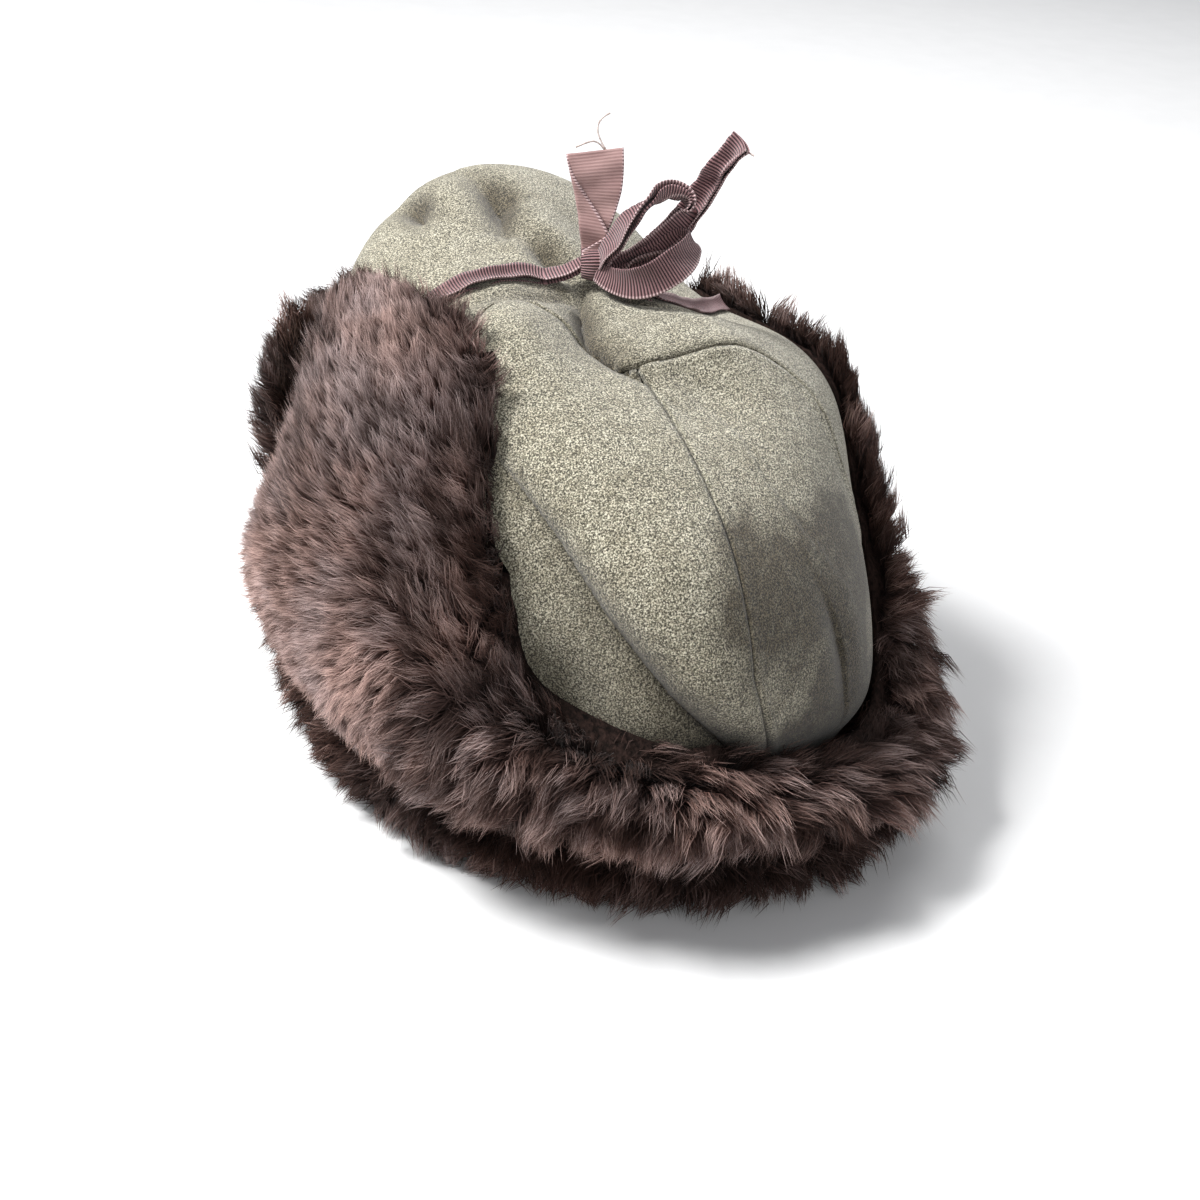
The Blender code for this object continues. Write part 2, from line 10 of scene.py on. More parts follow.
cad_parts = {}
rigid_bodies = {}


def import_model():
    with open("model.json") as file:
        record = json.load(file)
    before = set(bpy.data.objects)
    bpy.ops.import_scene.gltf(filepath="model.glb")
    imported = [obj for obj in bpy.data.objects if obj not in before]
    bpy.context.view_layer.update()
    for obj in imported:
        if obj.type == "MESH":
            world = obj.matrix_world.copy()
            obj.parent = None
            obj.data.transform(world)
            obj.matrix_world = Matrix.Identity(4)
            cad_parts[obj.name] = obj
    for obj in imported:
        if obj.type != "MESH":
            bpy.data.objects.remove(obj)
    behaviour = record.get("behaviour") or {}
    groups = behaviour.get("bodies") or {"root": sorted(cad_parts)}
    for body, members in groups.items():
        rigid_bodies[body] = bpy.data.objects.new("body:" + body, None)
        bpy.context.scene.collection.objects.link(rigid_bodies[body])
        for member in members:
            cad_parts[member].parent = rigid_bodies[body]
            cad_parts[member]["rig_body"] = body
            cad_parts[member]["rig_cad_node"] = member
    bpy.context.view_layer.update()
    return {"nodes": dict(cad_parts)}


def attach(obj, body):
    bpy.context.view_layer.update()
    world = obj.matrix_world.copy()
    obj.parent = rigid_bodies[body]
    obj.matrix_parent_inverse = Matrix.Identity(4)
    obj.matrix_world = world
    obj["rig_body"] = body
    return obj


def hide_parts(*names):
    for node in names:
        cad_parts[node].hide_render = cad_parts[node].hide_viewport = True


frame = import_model()

# The camera looks down at the nape from behind and from the left ear's side, as the photograph
# does. Lengths are in millimetres throughout, from the origin of the frame.
CAMERA_TURN, CAMERA_HEIGHT, CAMERA_ROLL = math.radians(152), math.radians(31), math.radians(4.5)
CAMERA_DISTANCE, CAMERA_RIGHT, CAMERA_UP = 671, 9.4, 30.1
CAMERA_SENSOR, CAMERA_LENS = 36, 54.15
CROWN_MIDDLE = Vector((-9.1, -7.8, 0))
MM = 0.001

back = Vector((
    math.sin(CAMERA_TURN) * math.cos(CAMERA_HEIGHT),
    -math.cos(CAMERA_TURN) * math.cos(CAMERA_HEIGHT),
    math.sin(CAMERA_HEIGHT),
))
level = Vector((math.cos(CAMERA_TURN), math.sin(CAMERA_TURN), 0))
upright = back.cross(level)
right = level * math.cos(CAMERA_ROLL) + upright * math.sin(CAMERA_ROLL)
up = upright * math.cos(CAMERA_ROLL) - level * math.sin(CAMERA_ROLL)
place = back * CAMERA_DISTANCE + right * CAMERA_RIGHT + up * CAMERA_UP + CROWN_MIDDLE

bpy.ops.object.select_all(action="DESELECT")
bpy.ops.object.camera_add()
camera = bpy.context.object
camera.name = "camera"
camera.matrix_world = Matrix.Translation(place * MM) @ Matrix((right, up, back)).transposed().to_4x4()
camera.data.sensor_width = CAMERA_SENSOR
camera.data.lens = CAMERA_LENS
camera.data.clip_start = 0.01
bpy.context.scene.camera = camera

# The crown is three panels of thick wool felt, spun from olive, beige and charcoal fibres and
# sewn edge to edge. The cloth is soft enough to fold over itself on the left of the nape and to
# gather where the ribbons pull it in on top.
CROWN_PANELS = ("crown_front", "crown_back_left", "crown_back_right")
FELT_LEVELS, SHARP_EDGE = 3, math.radians(50)
# A seam is a groove with a ridge of turned-in cloth beside it: how deep, high and wide they are,
# how far the ridge lies from the groove, and how near two panels' edges are drawn together.
SEAM_GROOVE, GROOVE_WIDTH, SEAM_RIDGE, RIDGE_WIDTH, RIDGE_AWAY = 1.2, 1.1, 0.6, 1.3, 2.6
SEAM_REACH, SEWN_SHARE, SEWN_REACH = 8.0, 0.49, 1.6
FOLD_COLUMNS = ("x", "y", "z", "depth", "lap", "overhang", "width", "spread")
FELT_FOLDS = {
    # Along the bottom of each fold. Lap is how far the felt on its far side stands over the
    # near side, and overhang how far it reaches across.
    "crease_at_the_nape": (
        (54, 45, 133, 0.4, 0.6, 0, 3.4, 16), (48, 58, 125, 2, 3, 0.8, 3.4, 20),
        (40, 72, 115, 3.4, 6, 2.4, 3.2, 24), (28, 90, 95, 4.4, 8.6, 4, 3, 28),
        (14, 104, 75, 4.6, 9, 4.4, 3, 28), (0, 109, 57, 3.4, 5.4, 2.6, 3, 22),
        (-10, 108, 42, 1.6, 1.6, 0.8, 3.2, 18),
    ),
    "gather_by_the_knot": (
        (-3, -10, 156, 3, 1.2, 0, 3.4, 10), (2, 2, 150, 6.4, 3.6, 2, 4, 13),
        (6, 17, 147, 7.4, 5, 3.4, 4.2, 15), (3, 33, 146, 4.6, 3.8, 2.6, 4.2, 14),
        (-2, 44, 144, 1, 1, 0.6, 4, 10),
    ),
    "dent_left_of_the_brow": (
        (30, -90, 156, 0.6, 0.2, 0, 6, 12), (30, -77, 163, 8, 2.6, 0.8, 5.6, 15),
        (32, -64, 162, 1.8, 0.6, 0, 6, 12),
    ),
    "dent_above_the_brow": (
        (6, -82, 166, 2.4, 1, 0, 6, 14), (4, -65, 168, 9.4, 4, 1.6, 6, 18),
        (9, -49, 165, 4, 1.4, 0.4, 6, 14),
    ),
    "dent_by_the_ribbon": (
        (4, -42, 165, 2.4, 0.6, 0, 5.6, 12), (1, -31, 162, 7, 3, 1.2, 5.2, 14),
        (-1, -18, 158, 3, 0.8, 0, 5, 10),
    ),
    "pull_beside_the_left_ribbon": (
        (44, -5, 157, 1, 0.8, 0, 5, 11), (25, -5, 160, 3.2, 2.4, 0.8, 4.4, 13),
        (6, -8, 159, 3.4, 1.4, 0.4, 4, 10),
    ),
    "pull_beside_the_right_ribbon": (
        (-50, 12, 152, 1, 0.8, 0, 5, 12), (-34, 12, 157, 3, 2, 0.6, 4.6, 13),
        (-16, 0, 158, 3.4, 1.2, 0.2, 4, 10),
    ),
    "pull_low_on_the_nape": (
        (-36, 100, 96, 0.6, 0.4, 0, 6, 18), (-44, 104, 78, 2.6, 2, 0.6, 5.6, 20),
        (-47, 104, 58, 1.4, 1, 0.4, 5.6, 18),
    ),
}
# How the soft cloth has settled away from an even dome: each place, the way that the cloth there
# has moved, and how far round it was drawn along.
SETTLED = {
    "top_towards_the_left": (12, -70, 165, 7, 0, 0, 42),
    "top_right_of_the_bow": (-38, -48, 164, 0, 3, -11, 34),
    "front_right_shoulder": (-66, -54, 138, 7, 6, -10, 34),
    "under_the_right_flap": (-58, -14, 158, 3, 0, -12, 32),
    "shoulder_at_the_right": (-82, 34, 124, -3, 2, 1, 24),
    "low_on_the_right": (-64, 88, 38, -3, 2, -3, 24),
    "hollow_over_the_seam": (-24, 48, 140, 0, -2, -4, 16),
    "full_beside_the_crease": (6, 88, 104, -1, 4, 2, 22),
    "sunk_under_the_crease": (38, 90, 66, -2, -5, -1, 20),
    "puffed_before_the_bow": (-8, -42, 168, 0, 0, 4, 16),
    "puffed_behind_the_left_ribbon": (32, 16, 156, 1, 1, 4, 18),
    "puffed_behind_the_bow": (-34, 34, 150, -1, 1, 4, 20),
}
# Where the middle seam of the nape sits: at each height, how far the cloth is drawn over to
# the left, and how far round that draw reaches.
SEAM_DRAW = ((34, -8), (48, -7), (62, -0.5), (80, 5.5), (115, 7), (150, 8.2), (170, 6))
DRAW_REACH = 36.0
# The corner on top where the three panels meet is gathered to a point, this much and this far.
CORNER_SHARE, CORNER_REACH = 0.85, 2.6
# The middle and half sizes of a long dome about as big as the crown.
DOME_MIDDLE, DOME_SIZE = (-9.1, -12.0, 45.0), (85.0, 110.0, 110.0)


def edit(*steps):
    """Runs the steps in edit mode on the active piece with all of it selected."""
    bpy.ops.object.mode_set(mode="EDIT")
    bpy.ops.mesh.select_all(action="SELECT")
    for step in steps:
        step()
    bpy.ops.object.mode_set(mode="OBJECT")


def alone(piece):
    bpy.ops.object.select_all(action="DESELECT")
    piece.select_set(True)
    bpy.context.view_layer.objects.active = piece


def tree_of(mesh):
    """A tree that finds the nearest spot on a mesh, and what a ray hits."""
    return BVHTree.FromPolygons([v.co for v in mesh.vertices], [p.vertices[:] for p in mesh.polygons])


def copy_of(node, name):
    """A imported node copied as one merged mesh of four-sided faces."""
    piece = frame["nodes"][node].copy()
    piece.data = piece.data.copy()
    piece.name = piece.data.name = name
    piece.parent = None
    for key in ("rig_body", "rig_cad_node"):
        if key in piece:
            del piece[key]
    bpy.context.scene.collection.objects.link(piece)
    piece.data.materials.clear()
    alone(piece)
    bpy.ops.mesh.customdata_custom_splitnormals_clear()
    edit(
        lambda: bpy.ops.mesh.remove_doubles(threshold=1e-5),
        lambda: bpy.ops.mesh.tris_convert_to_quads(face_threshold=0.9, shape_threshold=1.2),
    )
    return piece


def finish_with(piece, kind, **settings):
    """Adds one modifier to a piece and applies it."""
    alone(piece)
    modifier = piece.modifiers.new(kind.lower(), kind)
    for key, value in settings.items():
        setattr(modifier, key, value)
    bpy.ops.object.modifier_apply(modifier=modifier.name)


def vectors_of(piece, key):
    found = np.empty(len(piece.data.vertices) * 3)
    piece.data.vertices.foreach_get(key, found)
    return found.reshape(-1, 3)


def points_of(piece):
    return vectors_of(piece, "co") / MM


def move_to(piece, points):
    piece.data.vertices.foreach_set("co", (points * MM).ravel())
    piece.data.update()


def out_of_crown(points):
    """The way out of the crown at each point, as from a long dome."""
    away = (points - np.array(DOME_MIDDLE)) / np.array(DOME_SIZE) ** 2
    return away / np.linalg.norm(away, axis=1, keepdims=True)


def dots(first, second):
    """The dot product of each row with its partner."""
    return np.einsum("ij,ij->i", first, second)


def bell(gap, width):
    """From 1 at no gap down to almost 0 at twice the width."""
    return np.exp(-((gap / width) ** 2))


def near_line(points, rows, columns):
    """For each point: its distance from the line, the offset from it, the line's way there and
    each of the line's values there."""
    line = np.array(rows, float)
    best = np.full(len(points), np.inf)
    offset = np.zeros((len(points), 3))
    way = np.zeros((len(points), 3))
    values = np.zeros((len(points), line.shape[1] - 3))
    for start, end in zip(line, line[1:]):
        run = end[:3] - start[:3]
        share = np.clip((points - start[:3]) @ run / (run @ run), 0, 1)
        gap = points - start[:3] - share[:, None] * run
        distance = np.linalg.norm(gap, axis=1)
        nearer = distance < best
        best[nearer] = distance[nearer]
        offset[nearer] = gap[nearer]
        way[nearer] = run / np.linalg.norm(run)
        mixed = start[3:] + share[:, None] * (end[3:] - start[3:])
        values[nearer] = mixed[nearer]
    return best, offset, way, dict(zip(columns[3:], values.T))


# Folds press into the cloth no deeper than this and no farther off, the way over a lap rises
# within this, and an overhang fades over this.
FOLD_DEEPEST, FOLD_FARTHEST, LAP_RISE, OVERHANG_FADE = 25, 60, 0.8, 5.0


def fold(points, out):
    """The points after every fold and dent has been pressed into them, and how much painted shade
    each of them gets, from 0 to 1: deepest in a fold and on the near side below a lap."""
    moved = points.copy()
    inside = np.zeros(len(points))
    for rows in FELT_FOLDS.values():
        _, offset, way, at = near_line(points, rows, FOLD_COLUMNS)
        deep = dots(offset, out)
        offset = offset - out * deep[:, None]
        distance = np.linalg.norm(offset, axis=1)
        distance[np.abs(deep) > FOLD_DEEPEST] = 99
        across = np.cross(way, out)
        side = dots(offset, across)
        lift = -at["depth"] * bell(distance, at["width"])
        over = (side < 0) * np.exp(-distance / at["spread"])
        lift += at["lap"] * over * np.tanh(np.abs(side) / LAP_RISE)
        reach = at["overhang"] * over * bell(distance, OVERHANG_FADE)
        # Painted shade: darkest deep in the fold, and on the near side below its lap, where the lap's
        # shadow falls.
        hollow = bell(distance, at["width"] * 1.2) * at["depth"] / 5.5
        under = (side > 0) * np.exp(-distance / 8) * at["lap"] / 9
        inside = np.maximum(inside, np.maximum(hollow, under))
        near = distance < FOLD_FARTHEST
        moved[near] += (out * lift[:, None] + across * reach[:, None])[near]
    return moved, np.clip(inside, 0, 1)


def finder_of(spots):
    """Finds the nearest of these spots to a place."""
    finder = KDTree(len(spots))
    for i, spot in enumerate(spots):
        finder.insert(Vector(spot), i)
    finder.balance()
    return finder


def draw_over(points):
    """The points after the cloth beside the middle seam is drawn to where it was sewn."""
    left, right = (frame["nodes"][name].data.vertices for name in CROWN_PANELS[1:])
    moved = points.copy()
    finder = finder_of([corner.co for corner in right])
    beside = np.array([v.co[:] for v in left if finder.find(v.co)[2] < 1.6 * MM]) / MM
    middle = np.polyfit(beside[:, 2], beside[:, 0], 3)
    corner = beside[np.argmax(beside[:, 2])]
    reach = np.linalg.norm(points - corner, axis=1)
    gathered = CORNER_SHARE * bell(reach, CORNER_REACH)
    moved += (corner - points) * gathered[:, None] * (1, 1, 0.2)
    heights, draws = zip(*SEAM_DRAW)
    height = np.clip(points[:, 2], beside[:, 2].min(), beside[:, 2].max())
    away = points[:, 0] - np.polyval(middle, height)
    shift = np.interp(points[:, 2], heights, draws) * bell(away, DRAW_REACH)
    moved[:, 0] += shift * np.clip((points[:, 1] - 10) / 25, 0, 1)
    for *place, along, across, upward, reach in SETTLED.values():
        near = np.exp(-(((points - place) / reach) ** 2).sum(1))
        moved += near[:, None] * (along, across, upward)
    return moved


def thin_inside(piece):
    """Fewer faces on the inner side, which needs none of the folds' detail."""
    mesh = piece.data
    middles = np.array([face.center[:] for face in mesh.polygons]) / MM
    facing = np.array([face.normal[:] for face in mesh.polygons])
    inside = dots(facing, out_of_crown(middles)) < -0.5
    for parts in (mesh.vertices, mesh.edges):
        parts.foreach_set("select", np.zeros(len(parts), bool))
    mesh.polygons.foreach_set("select", inside)
    alone(piece)
    bpy.ops.object.mode_set(mode="EDIT")
    bpy.ops.mesh.select_mode(type="FACE")
    bpy.ops.mesh.decimate(ratio=0.12)
    bpy.ops.object.mode_set(mode="OBJECT")


def seams_of(points, panel):
    """For each point: how far the next panel is, if it is near, the way to it, and whether the
    nape's middle seam is what lies between."""
    found = np.full(len(points), SEAM_REACH)
    towards = np.zeros((len(points), 3))
    middle = np.zeros(len(points), bool)
    for name in CROWN_PANELS:
        if name == panel:
            continue
        tree = tree_of(frame["nodes"][name].data)
        for i, point in enumerate(points * MM):
            spot, _, _, gap = tree.find_nearest(Vector(point), SEAM_REACH * MM)
            if spot is not None and gap / MM < found[i]:
                found[i] = gap / MM
                towards[i] = np.array(spot) / MM - points[i]
                middle[i] = "crown_front" not in (name, panel)
    return found, towards, middle


def fill(tree, node, inputs):
    """Gives a node's sockets their values, or joins them to outputs."""
    for key, value in inputs.items():
        socket = node.inputs[key]
        if isinstance(value, bpy.types.NodeSocket):
            tree.links.new(value, socket)
        else:
            socket.default_value = (*value, 1.0) if socket.type == "RGBA" else value


def node_of(tree, kind, inputs=None, **settings):
    node = tree.nodes.new("ShaderNode" + kind)
    for key, value in settings.items():
        setattr(node, key, value)
    fill(tree, node, inputs or {})
    return node


def noise_of(tree, scale, detail, **more):
    """Noise through the piece, finer as the scale is larger."""
    place = node_of(tree, "TexCoord").outputs["Object"]
    inputs = {"Vector": place, "Scale": scale, "Detail": detail} | more
    return node_of(tree, "TexNoise", inputs).outputs


def math_of(tree, operation, *values, **settings):
    inputs = dict(enumerate(values))
    return node_of(tree, "Math", inputs, operation=operation, **settings).outputs[0]


def share_of(tree, value, low, high):
    """How far a value lies from the one to the other, from 0 to 1."""
    inputs = {"Value": value, "From Min": low, "From Max": high}
    return node_of(tree, "MapRange", inputs).outputs["Result"]


def ramp_of(tree, source, stops):
    """A colour ramp over a value, from (place, colour) stops."""
    ramp = node_of(tree, "ValToRGB", {"Fac": source})
    band = ramp.color_ramp
    while len(band.elements) < len(stops):
        band.elements.new(0.5)
    for element, (at, colour) in zip(band.elements, stops):
        element.position = at
        element.color = (*colour, 1.0)
    return ramp.outputs["Color"]


def mix_of(tree, kind, first, second, share):
    """Two colours mixed or multiplied, each a value or an output."""
    settings = {"data_type": "RGBA", "blend_type": kind, "clamp_factor": True}
    return node_of(tree, "Mix", {0: share, 6: first, 7: second}, **settings).outputs[2]


def new_material(name):
    material = bpy.data.materials.new(name)
    material.use_nodes = True
    return material, material.node_tree


LOOK = ("Roughness", "Specular IOR Level", "Sheen Weight", "Sheen Roughness")


def finish_look(material, colour, *values, relief=None):
    """Gives a material its colour, as many of the LOOK values as there are, and relief from a
    height, its distance and its strength."""
    look = {"Base Color": colour} | dict(zip(LOOK, values))
    tree = material.node_tree
    if relief:
        bump = node_of(tree, "Bump", dict(zip(("Height", "Distance", "Strength"), relief)))
        look["Normal"] = bump.outputs["Normal"]
    fill(tree, tree.nodes["Principled BSDF"], look)
    return material


# Where the cloth is worn: the middles and sizes of soft patches and how far their edges
# wander, in metres as a material has them, and how much of a patch is full.
WORN_PLACES = (
    ((-0.016, 0.097, 0.095), 0.032), ((-0.046, 0.080, 0.090), 0.032),
    ((-0.044, 0.104, 0.066), 0.027), ((-0.052, 0.096, 0.044), 0.028),
    ((-0.030, 0.114, 0.048), 0.020),
)
WORN_WANDER, WORN_SOFTNESS = 0.012, 0.65
FLECKS = (
    (0.37, (0.034, 0.030, 0.021)),
    (0.45, (0.125, 0.115, 0.080)),
    (0.54, (0.37, 0.345, 0.258)),
    (0.65, (0.82, 0.775, 0.625)),
)


def worn_patches(tree, place):
    """From 0 on clean felt to 1 in the middle of a patch of wear."""
    sway = {0: noise_of(tree, 70.0, 3.0)["Color"], 1: (WORN_WANDER * 2,) * 3}
    wavy = node_of(tree, "VectorMath", sway, operation="MULTIPLY")
    moved = node_of(tree, "VectorMath", {0: place, 1: wavy.outputs[0]}, operation="ADD")
    evened = {0: moved.outputs[0], 1: (WORN_WANDER,) * 3}
    edge = node_of(tree, "VectorMath", evened, operation="SUBTRACT").outputs[0]
    wear_and_fold_shade = None
    for middle, size in WORN_PLACES:
        gap = node_of(tree, "VectorMath", {0: edge, 1: middle}, operation="DISTANCE")
        here = share_of(tree, gap.outputs["Value"], size, size * WORN_SOFTNESS)
        wear_and_fold_shade = here if wear_and_fold_shade is None else math_of(tree, "MAXIMUM", wear_and_fold_shade, here)
    return wear_and_fold_shade


def felt_material():
    """Wool felt of mixed fibres: flecks of beige and charcoal over olive, a brownish patch of wear
    low on the right of the nape, painted shade towards the rim and in its folds and seams, and
    with a nap that catches the light."""
    material, tree = new_material("felt_heathered_wool")
    place = node_of(tree, "TexCoord").outputs["Object"]
    flecks = noise_of(tree, 1900.0, 2.0, Roughness=0.7)["Fac"]
    clouds = noise_of(tree, 150.0, 4.0, Roughness=0.6)["Fac"]
    shade = ramp_of(tree, clouds, ((0.3, (0.70, 0.68, 0.64)), (0.7, (1.0, 1.0, 1.0))))
    colour = mix_of(tree, "MULTIPLY", ramp_of(tree, flecks, FLECKS), shade, 1.0)
    ragged = math_of(tree, "MULTIPLY", worn_patches(tree, place), clouds)
    amount = math_of(tree, "MULTIPLY", ragged, 2.0, use_clamp=True)
    # Painted shade: the felt darkens from a height of 115 mm down to 40 mm, towards the rim.
    height = node_of(tree, "SeparateXYZ", {"Vector": place}).outputs["Z"]
    low = share_of(tree, height, 0.115, 0.040)
    # Painted shade in the folds and seams, carried by the panels' attribute.
    folds = node_of(tree, "Attribute", attribute_name="painted_shade_in_folds_and_seams").outputs["Fac"]
    stain_and_painted_shade = (((0.27, 0.235, 0.19), amount), ((0.58, 0.56, 0.52), low), ((0.30, 0.27, 0.23), folds))
    for shade, share in stain_and_painted_shade:
        colour = mix_of(tree, "MULTIPLY", colour, shade, share)
    return finish_look(material, colour, 0.95, 0.15, 0.25, 0.6, relief=(flecks, 0.0008, 0.7))


felt = felt_material()
for node in CROWN_PANELS:
    panel = copy_of(node, node.replace("crown", "felt"))
    edit(
        lambda: bpy.ops.mesh.select_mode(type="EDGE"),
        lambda: bpy.ops.mesh.select_all(action="DESELECT"),
        lambda: bpy.ops.mesh.edges_select_sharp(sharpness=SHARP_EDGE),
        lambda: bpy.ops.transform.edge_crease(value=1.0),
    )
    finish_with(panel, "SUBSURF", levels=FELT_LEVELS, render_levels=FELT_LEVELS)
    points = points_of(panel)
    out = out_of_crown(points)
    seam, towards, middle = seams_of(points, node)
    strength = np.where(middle, np.interp(points[:, 2], (64, 84), (1.0, 0.3)), 1.0)
    lift = -SEAM_GROOVE * strength * bell(seam, GROOVE_WIDTH)
    if node != "crown_back_left":
        lift += SEAM_RIDGE * strength * bell(seam - RIDGE_AWAY, RIDGE_WIDTH)
    sewn = points + towards * (SEWN_SHARE * bell(seam, SEWN_REACH))[:, None]
    folded, inside = fold(draw_over(sewn + out * lift[:, None]), out)
    move_to(panel, folded)
    # Painted shade for the felt's colour: deep in the folds and below their laps, and in the grooves
    # of the seams.
    wear_and_fold_shade = np.maximum(inside, 0.7 * strength * bell(seam, 1.2))
    panel.data.attributes.new("painted_shade_in_folds_and_seams", "FLOAT", "POINT").data.foreach_set("value", wear_and_fold_shade)
    thin_inside(panel)
    panel.data.materials.append(felt)
    bpy.ops.object.shade_smooth()
    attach(panel, "root")
    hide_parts(node)

# The fur is dark brown pelt sewn over leather: the flaps are turned up with it outside, and it
# rolls out under the felt at the rim. Each pelt is a dark skin with tapered hairs planted on it
# in locks, roots nearly black and tips a pale rosy brown.
SKIN_DEPTH, ROOT_DEPTH, FLOOR_CLEAR = 0.45, 0.55, 0.4
PELTS = {
    # The node, its hairs and locks counted over the whole pelt, a hair's length, its lean and
    # lift as shares of that, how far a lock's outer hairs lie below its middle, the curl, and
    # a hair's width.
    "fur_left_ear": ("ear_nape_flap", 65000, 2600, 8.5, 0.8, 0.55, 1.8, 0.9, 0.25),
    "fur_nape": ("ear_nape_flap", 62000, 620, 14, 0.85, 0.5, 5.5, 1.4, 0.28),
    "fur_right_ear": ("ear_nape_flap", 42000, 300, 13, 0.8, 0.6, 4, 1.1, 0.32),
    "fur_brow": ("brow_flap", 30000, 300, 13, 0.8, 0.6, 4, 1.1, 0.32),
    "fur_rim": ("rim_fur", 46000, 800, 11, 0.8, 0.55, 5, 1.8, 0.34),
}


def wander(points, size, seed):
    """A smooth value between -1 and 1 that changes over this many millimetres."""
    chance = np.random.default_rng(seed)
    total = np.zeros(len(points))
    for _ in range(5):
        way = chance.normal(size=3)
        way *= 2 * math.pi / (size * np.linalg.norm(way) * chance.uniform(0.7, 1.5))
        total += np.sin(points @ way + chance.uniform(0, 2 * math.pi))
    return total / 3.2


def unit(vectors):
    """The vectors made one long."""
    return vectors / np.maximum(np.linalg.norm(vectors, axis=-1, keepdims=True), 1e-9)


def bearing_of(points):
    """Degrees round the crown, from 0 at the nape to 90 at the left ear and -90 at the right."""
    return np.degrees(np.arctan2(points[:, 0] - CROWN_MIDDLE.x, points[:, 1] - CROWN_MIDDLE.y))


LEFT_EAR_FROM, RIGHT_EAR_FROM = 50, -62


def region_of(points):
    """Which pelt of the long flap each point belongs to."""
    bearing = bearing_of(points)
    beyond = np.where(bearing < RIGHT_EAR_FROM, "fur_right_ear", "fur_nape")
    return np.where(bearing > LEFT_EAR_FROM, "fur_left_ear", beyond)


# Round the long flap: the height of its upper edge, how high up it the hairs turn to point
# upwards, and how far they lie over towards the brow.
FLOW_ROUND = np.array((
    (-122, 118, 0.3, 0.3), (-96, 126, 0.3, 0.3), (-80, 114, 0.35, 0.3), (-68, 90, 0.5, 0.2),
    (-48, 68, 0.95, 0.3), (-25, 58, 1.15, 0.1), (0, 57, 1.15, 0), (24, 64, 1.1, 0.1),
    (42, 76, 0.9, 0.5), (52, 108, 0.75, 0.9), (66, 145, 0.55, 1), (90, 158, 0.4, 0.9),
    (110, 152, 0.35, 0.7), (122, 138, 0.3, 0.6),
))


def fur_flow(name, points, normals):
    """The way the hairs lie along the pelt: upwards on a flap that is turned up, over to the
    front at the left ear's middle, and down where the nape's long hair falls."""
    z = points[:, 2]
    down = np.array((0.0, 0.0, -1.0))
    out = out_of_crown(points)
    if PELTS[name][0] == "ear_nape_flap":
        bearing = bearing_of(points)
        top, turn, over = (np.interp(bearing, FLOW_ROUND[:, 0], FLOW_ROUND[:, i]) for i in (1, 2, 3))
        height = (z - 30) / (top - 30)
        rise = np.tanh((height - turn) / 0.18)
        angle = np.radians(bearing)
        front = np.stack((np.cos(angle), -np.sin(angle), angle * 0), 1) * np.sign(bearing)[:, None]
        way = -down * rise[:, None] + front * (over * (1.25 - 0.6 * rise**2))[:, None] + out * 0.3
    elif name == "fur_brow":
        rise = np.clip((z - 45) / 40, -0.6, 1.0)[:, None]
        way = -down * rise + out * 0.6
    else:
        way = down * 0.7 + out * 0.6
    along = np.cross(normals, down)
    way = way + along * 0.5 * wander(points, 38, 11)[:, None]
    way = way + along * 0.35 * wander(points, 13, 12)[:, None]
    way = way - normals * dots(way, normals)[:, None]
    return unit(way)


def pelt_of(node):
    """A copy of the node in triangles, with its locks smoothed down, to plant hair on."""
    piece = copy_of(node, node + "_pelt")
    edit(lambda: bpy.ops.mesh.vertices_smooth(factor=0.5, repeat=3))
    edit(lambda: bpy.ops.mesh.quads_convert_to_tris())
    return piece


# How the flaps lie when they are tied up: the left ear's edge is drawn over the felt towards
# the nape and its front tucked in, the right ear is drawn up to its ribbon, the nape sags at the
# right and the brow's left end stands away. For each, the bearing of its middle and half its
# width in degrees, the height it starts from and is full at, and how far it moves.
STANDS_AWAY = {"brow_left_end": (140, 26, 44, 92, (13, 3, 3))}
DRAWN_UP = {
    "left_edge": (76, 30, 66, 98, (-10, 6, 1)),
    "left_bulge": (60, 20, 80, 108, (-7, 5, 0)),
    "left_side": (112, 26, 4, 40, (6, -1, 0)),
    "front_edge": (114, 22, 66, 100, (-17, 6, 0)),
    "front_top": (112, 20, 118, 146, (12, -6, 2)),
    "right_tip": (-112, 24, 60, 126, (16, 0, -1)),
    "right_edge": (-72, 17, 50, 100, (3, 0, 15)),
    "nape_right": (-31, 17, 16, 54, (0, 2, -18)),
}
# A flap keeps this far off the felt, and above this height it closes most of the way on it.
FLAP_CLEAR, CLOSED_SHARE, FLAP_LOWEST = 1.2, 0.7, 34


def draw_up(piece, moves):
    """Moves a flap's edge as it was tied, then closes it on the felt that it lies against."""
    points = points_of(piece)
    bearing = bearing_of(points)
    gaps = from_felt(points)
    moved = points.copy()
    for name, (middle, half, start, full, shift) in moves.items():
        share = np.clip((points[:, 2] - start) / (full - start), 0, 1)
        aside = (bearing - middle + 180) % 360 - 180
        share = share * share * (3 - 2 * share) * bell(aside, half)
        if name in ("left_edge", "left_bulge"):
            share *= np.clip(1.5 - gaps / 14, 0, 1)
        moved += share[:, None] * shift
    lift_off_felt(moved, range(len(moved)), FLAP_CLEAR)
    outside = dots(vectors_of(piece, "normal"), out_of_crown(moved))
    for i in np.flatnonzero((outside < 0.5) & (moved[:, 2] > FLAP_LOWEST)):
        spots = [tree.find_nearest(Vector(moved[i] * MM), 14 * MM) for tree in FELT_TREES]
        spots = [hit for hit in spots if hit[0] is not None]
        if spots:
            spot, _, _, gap = min(spots, key=lambda hit: hit[3])
            share = CLOSED_SHARE * max(0, 1 - FLAP_CLEAR / max(gap / MM, FLAP_CLEAR))
            moved[i] += (np.array(spot) / MM - moved[i]) * share
    move_to(piece, moved)


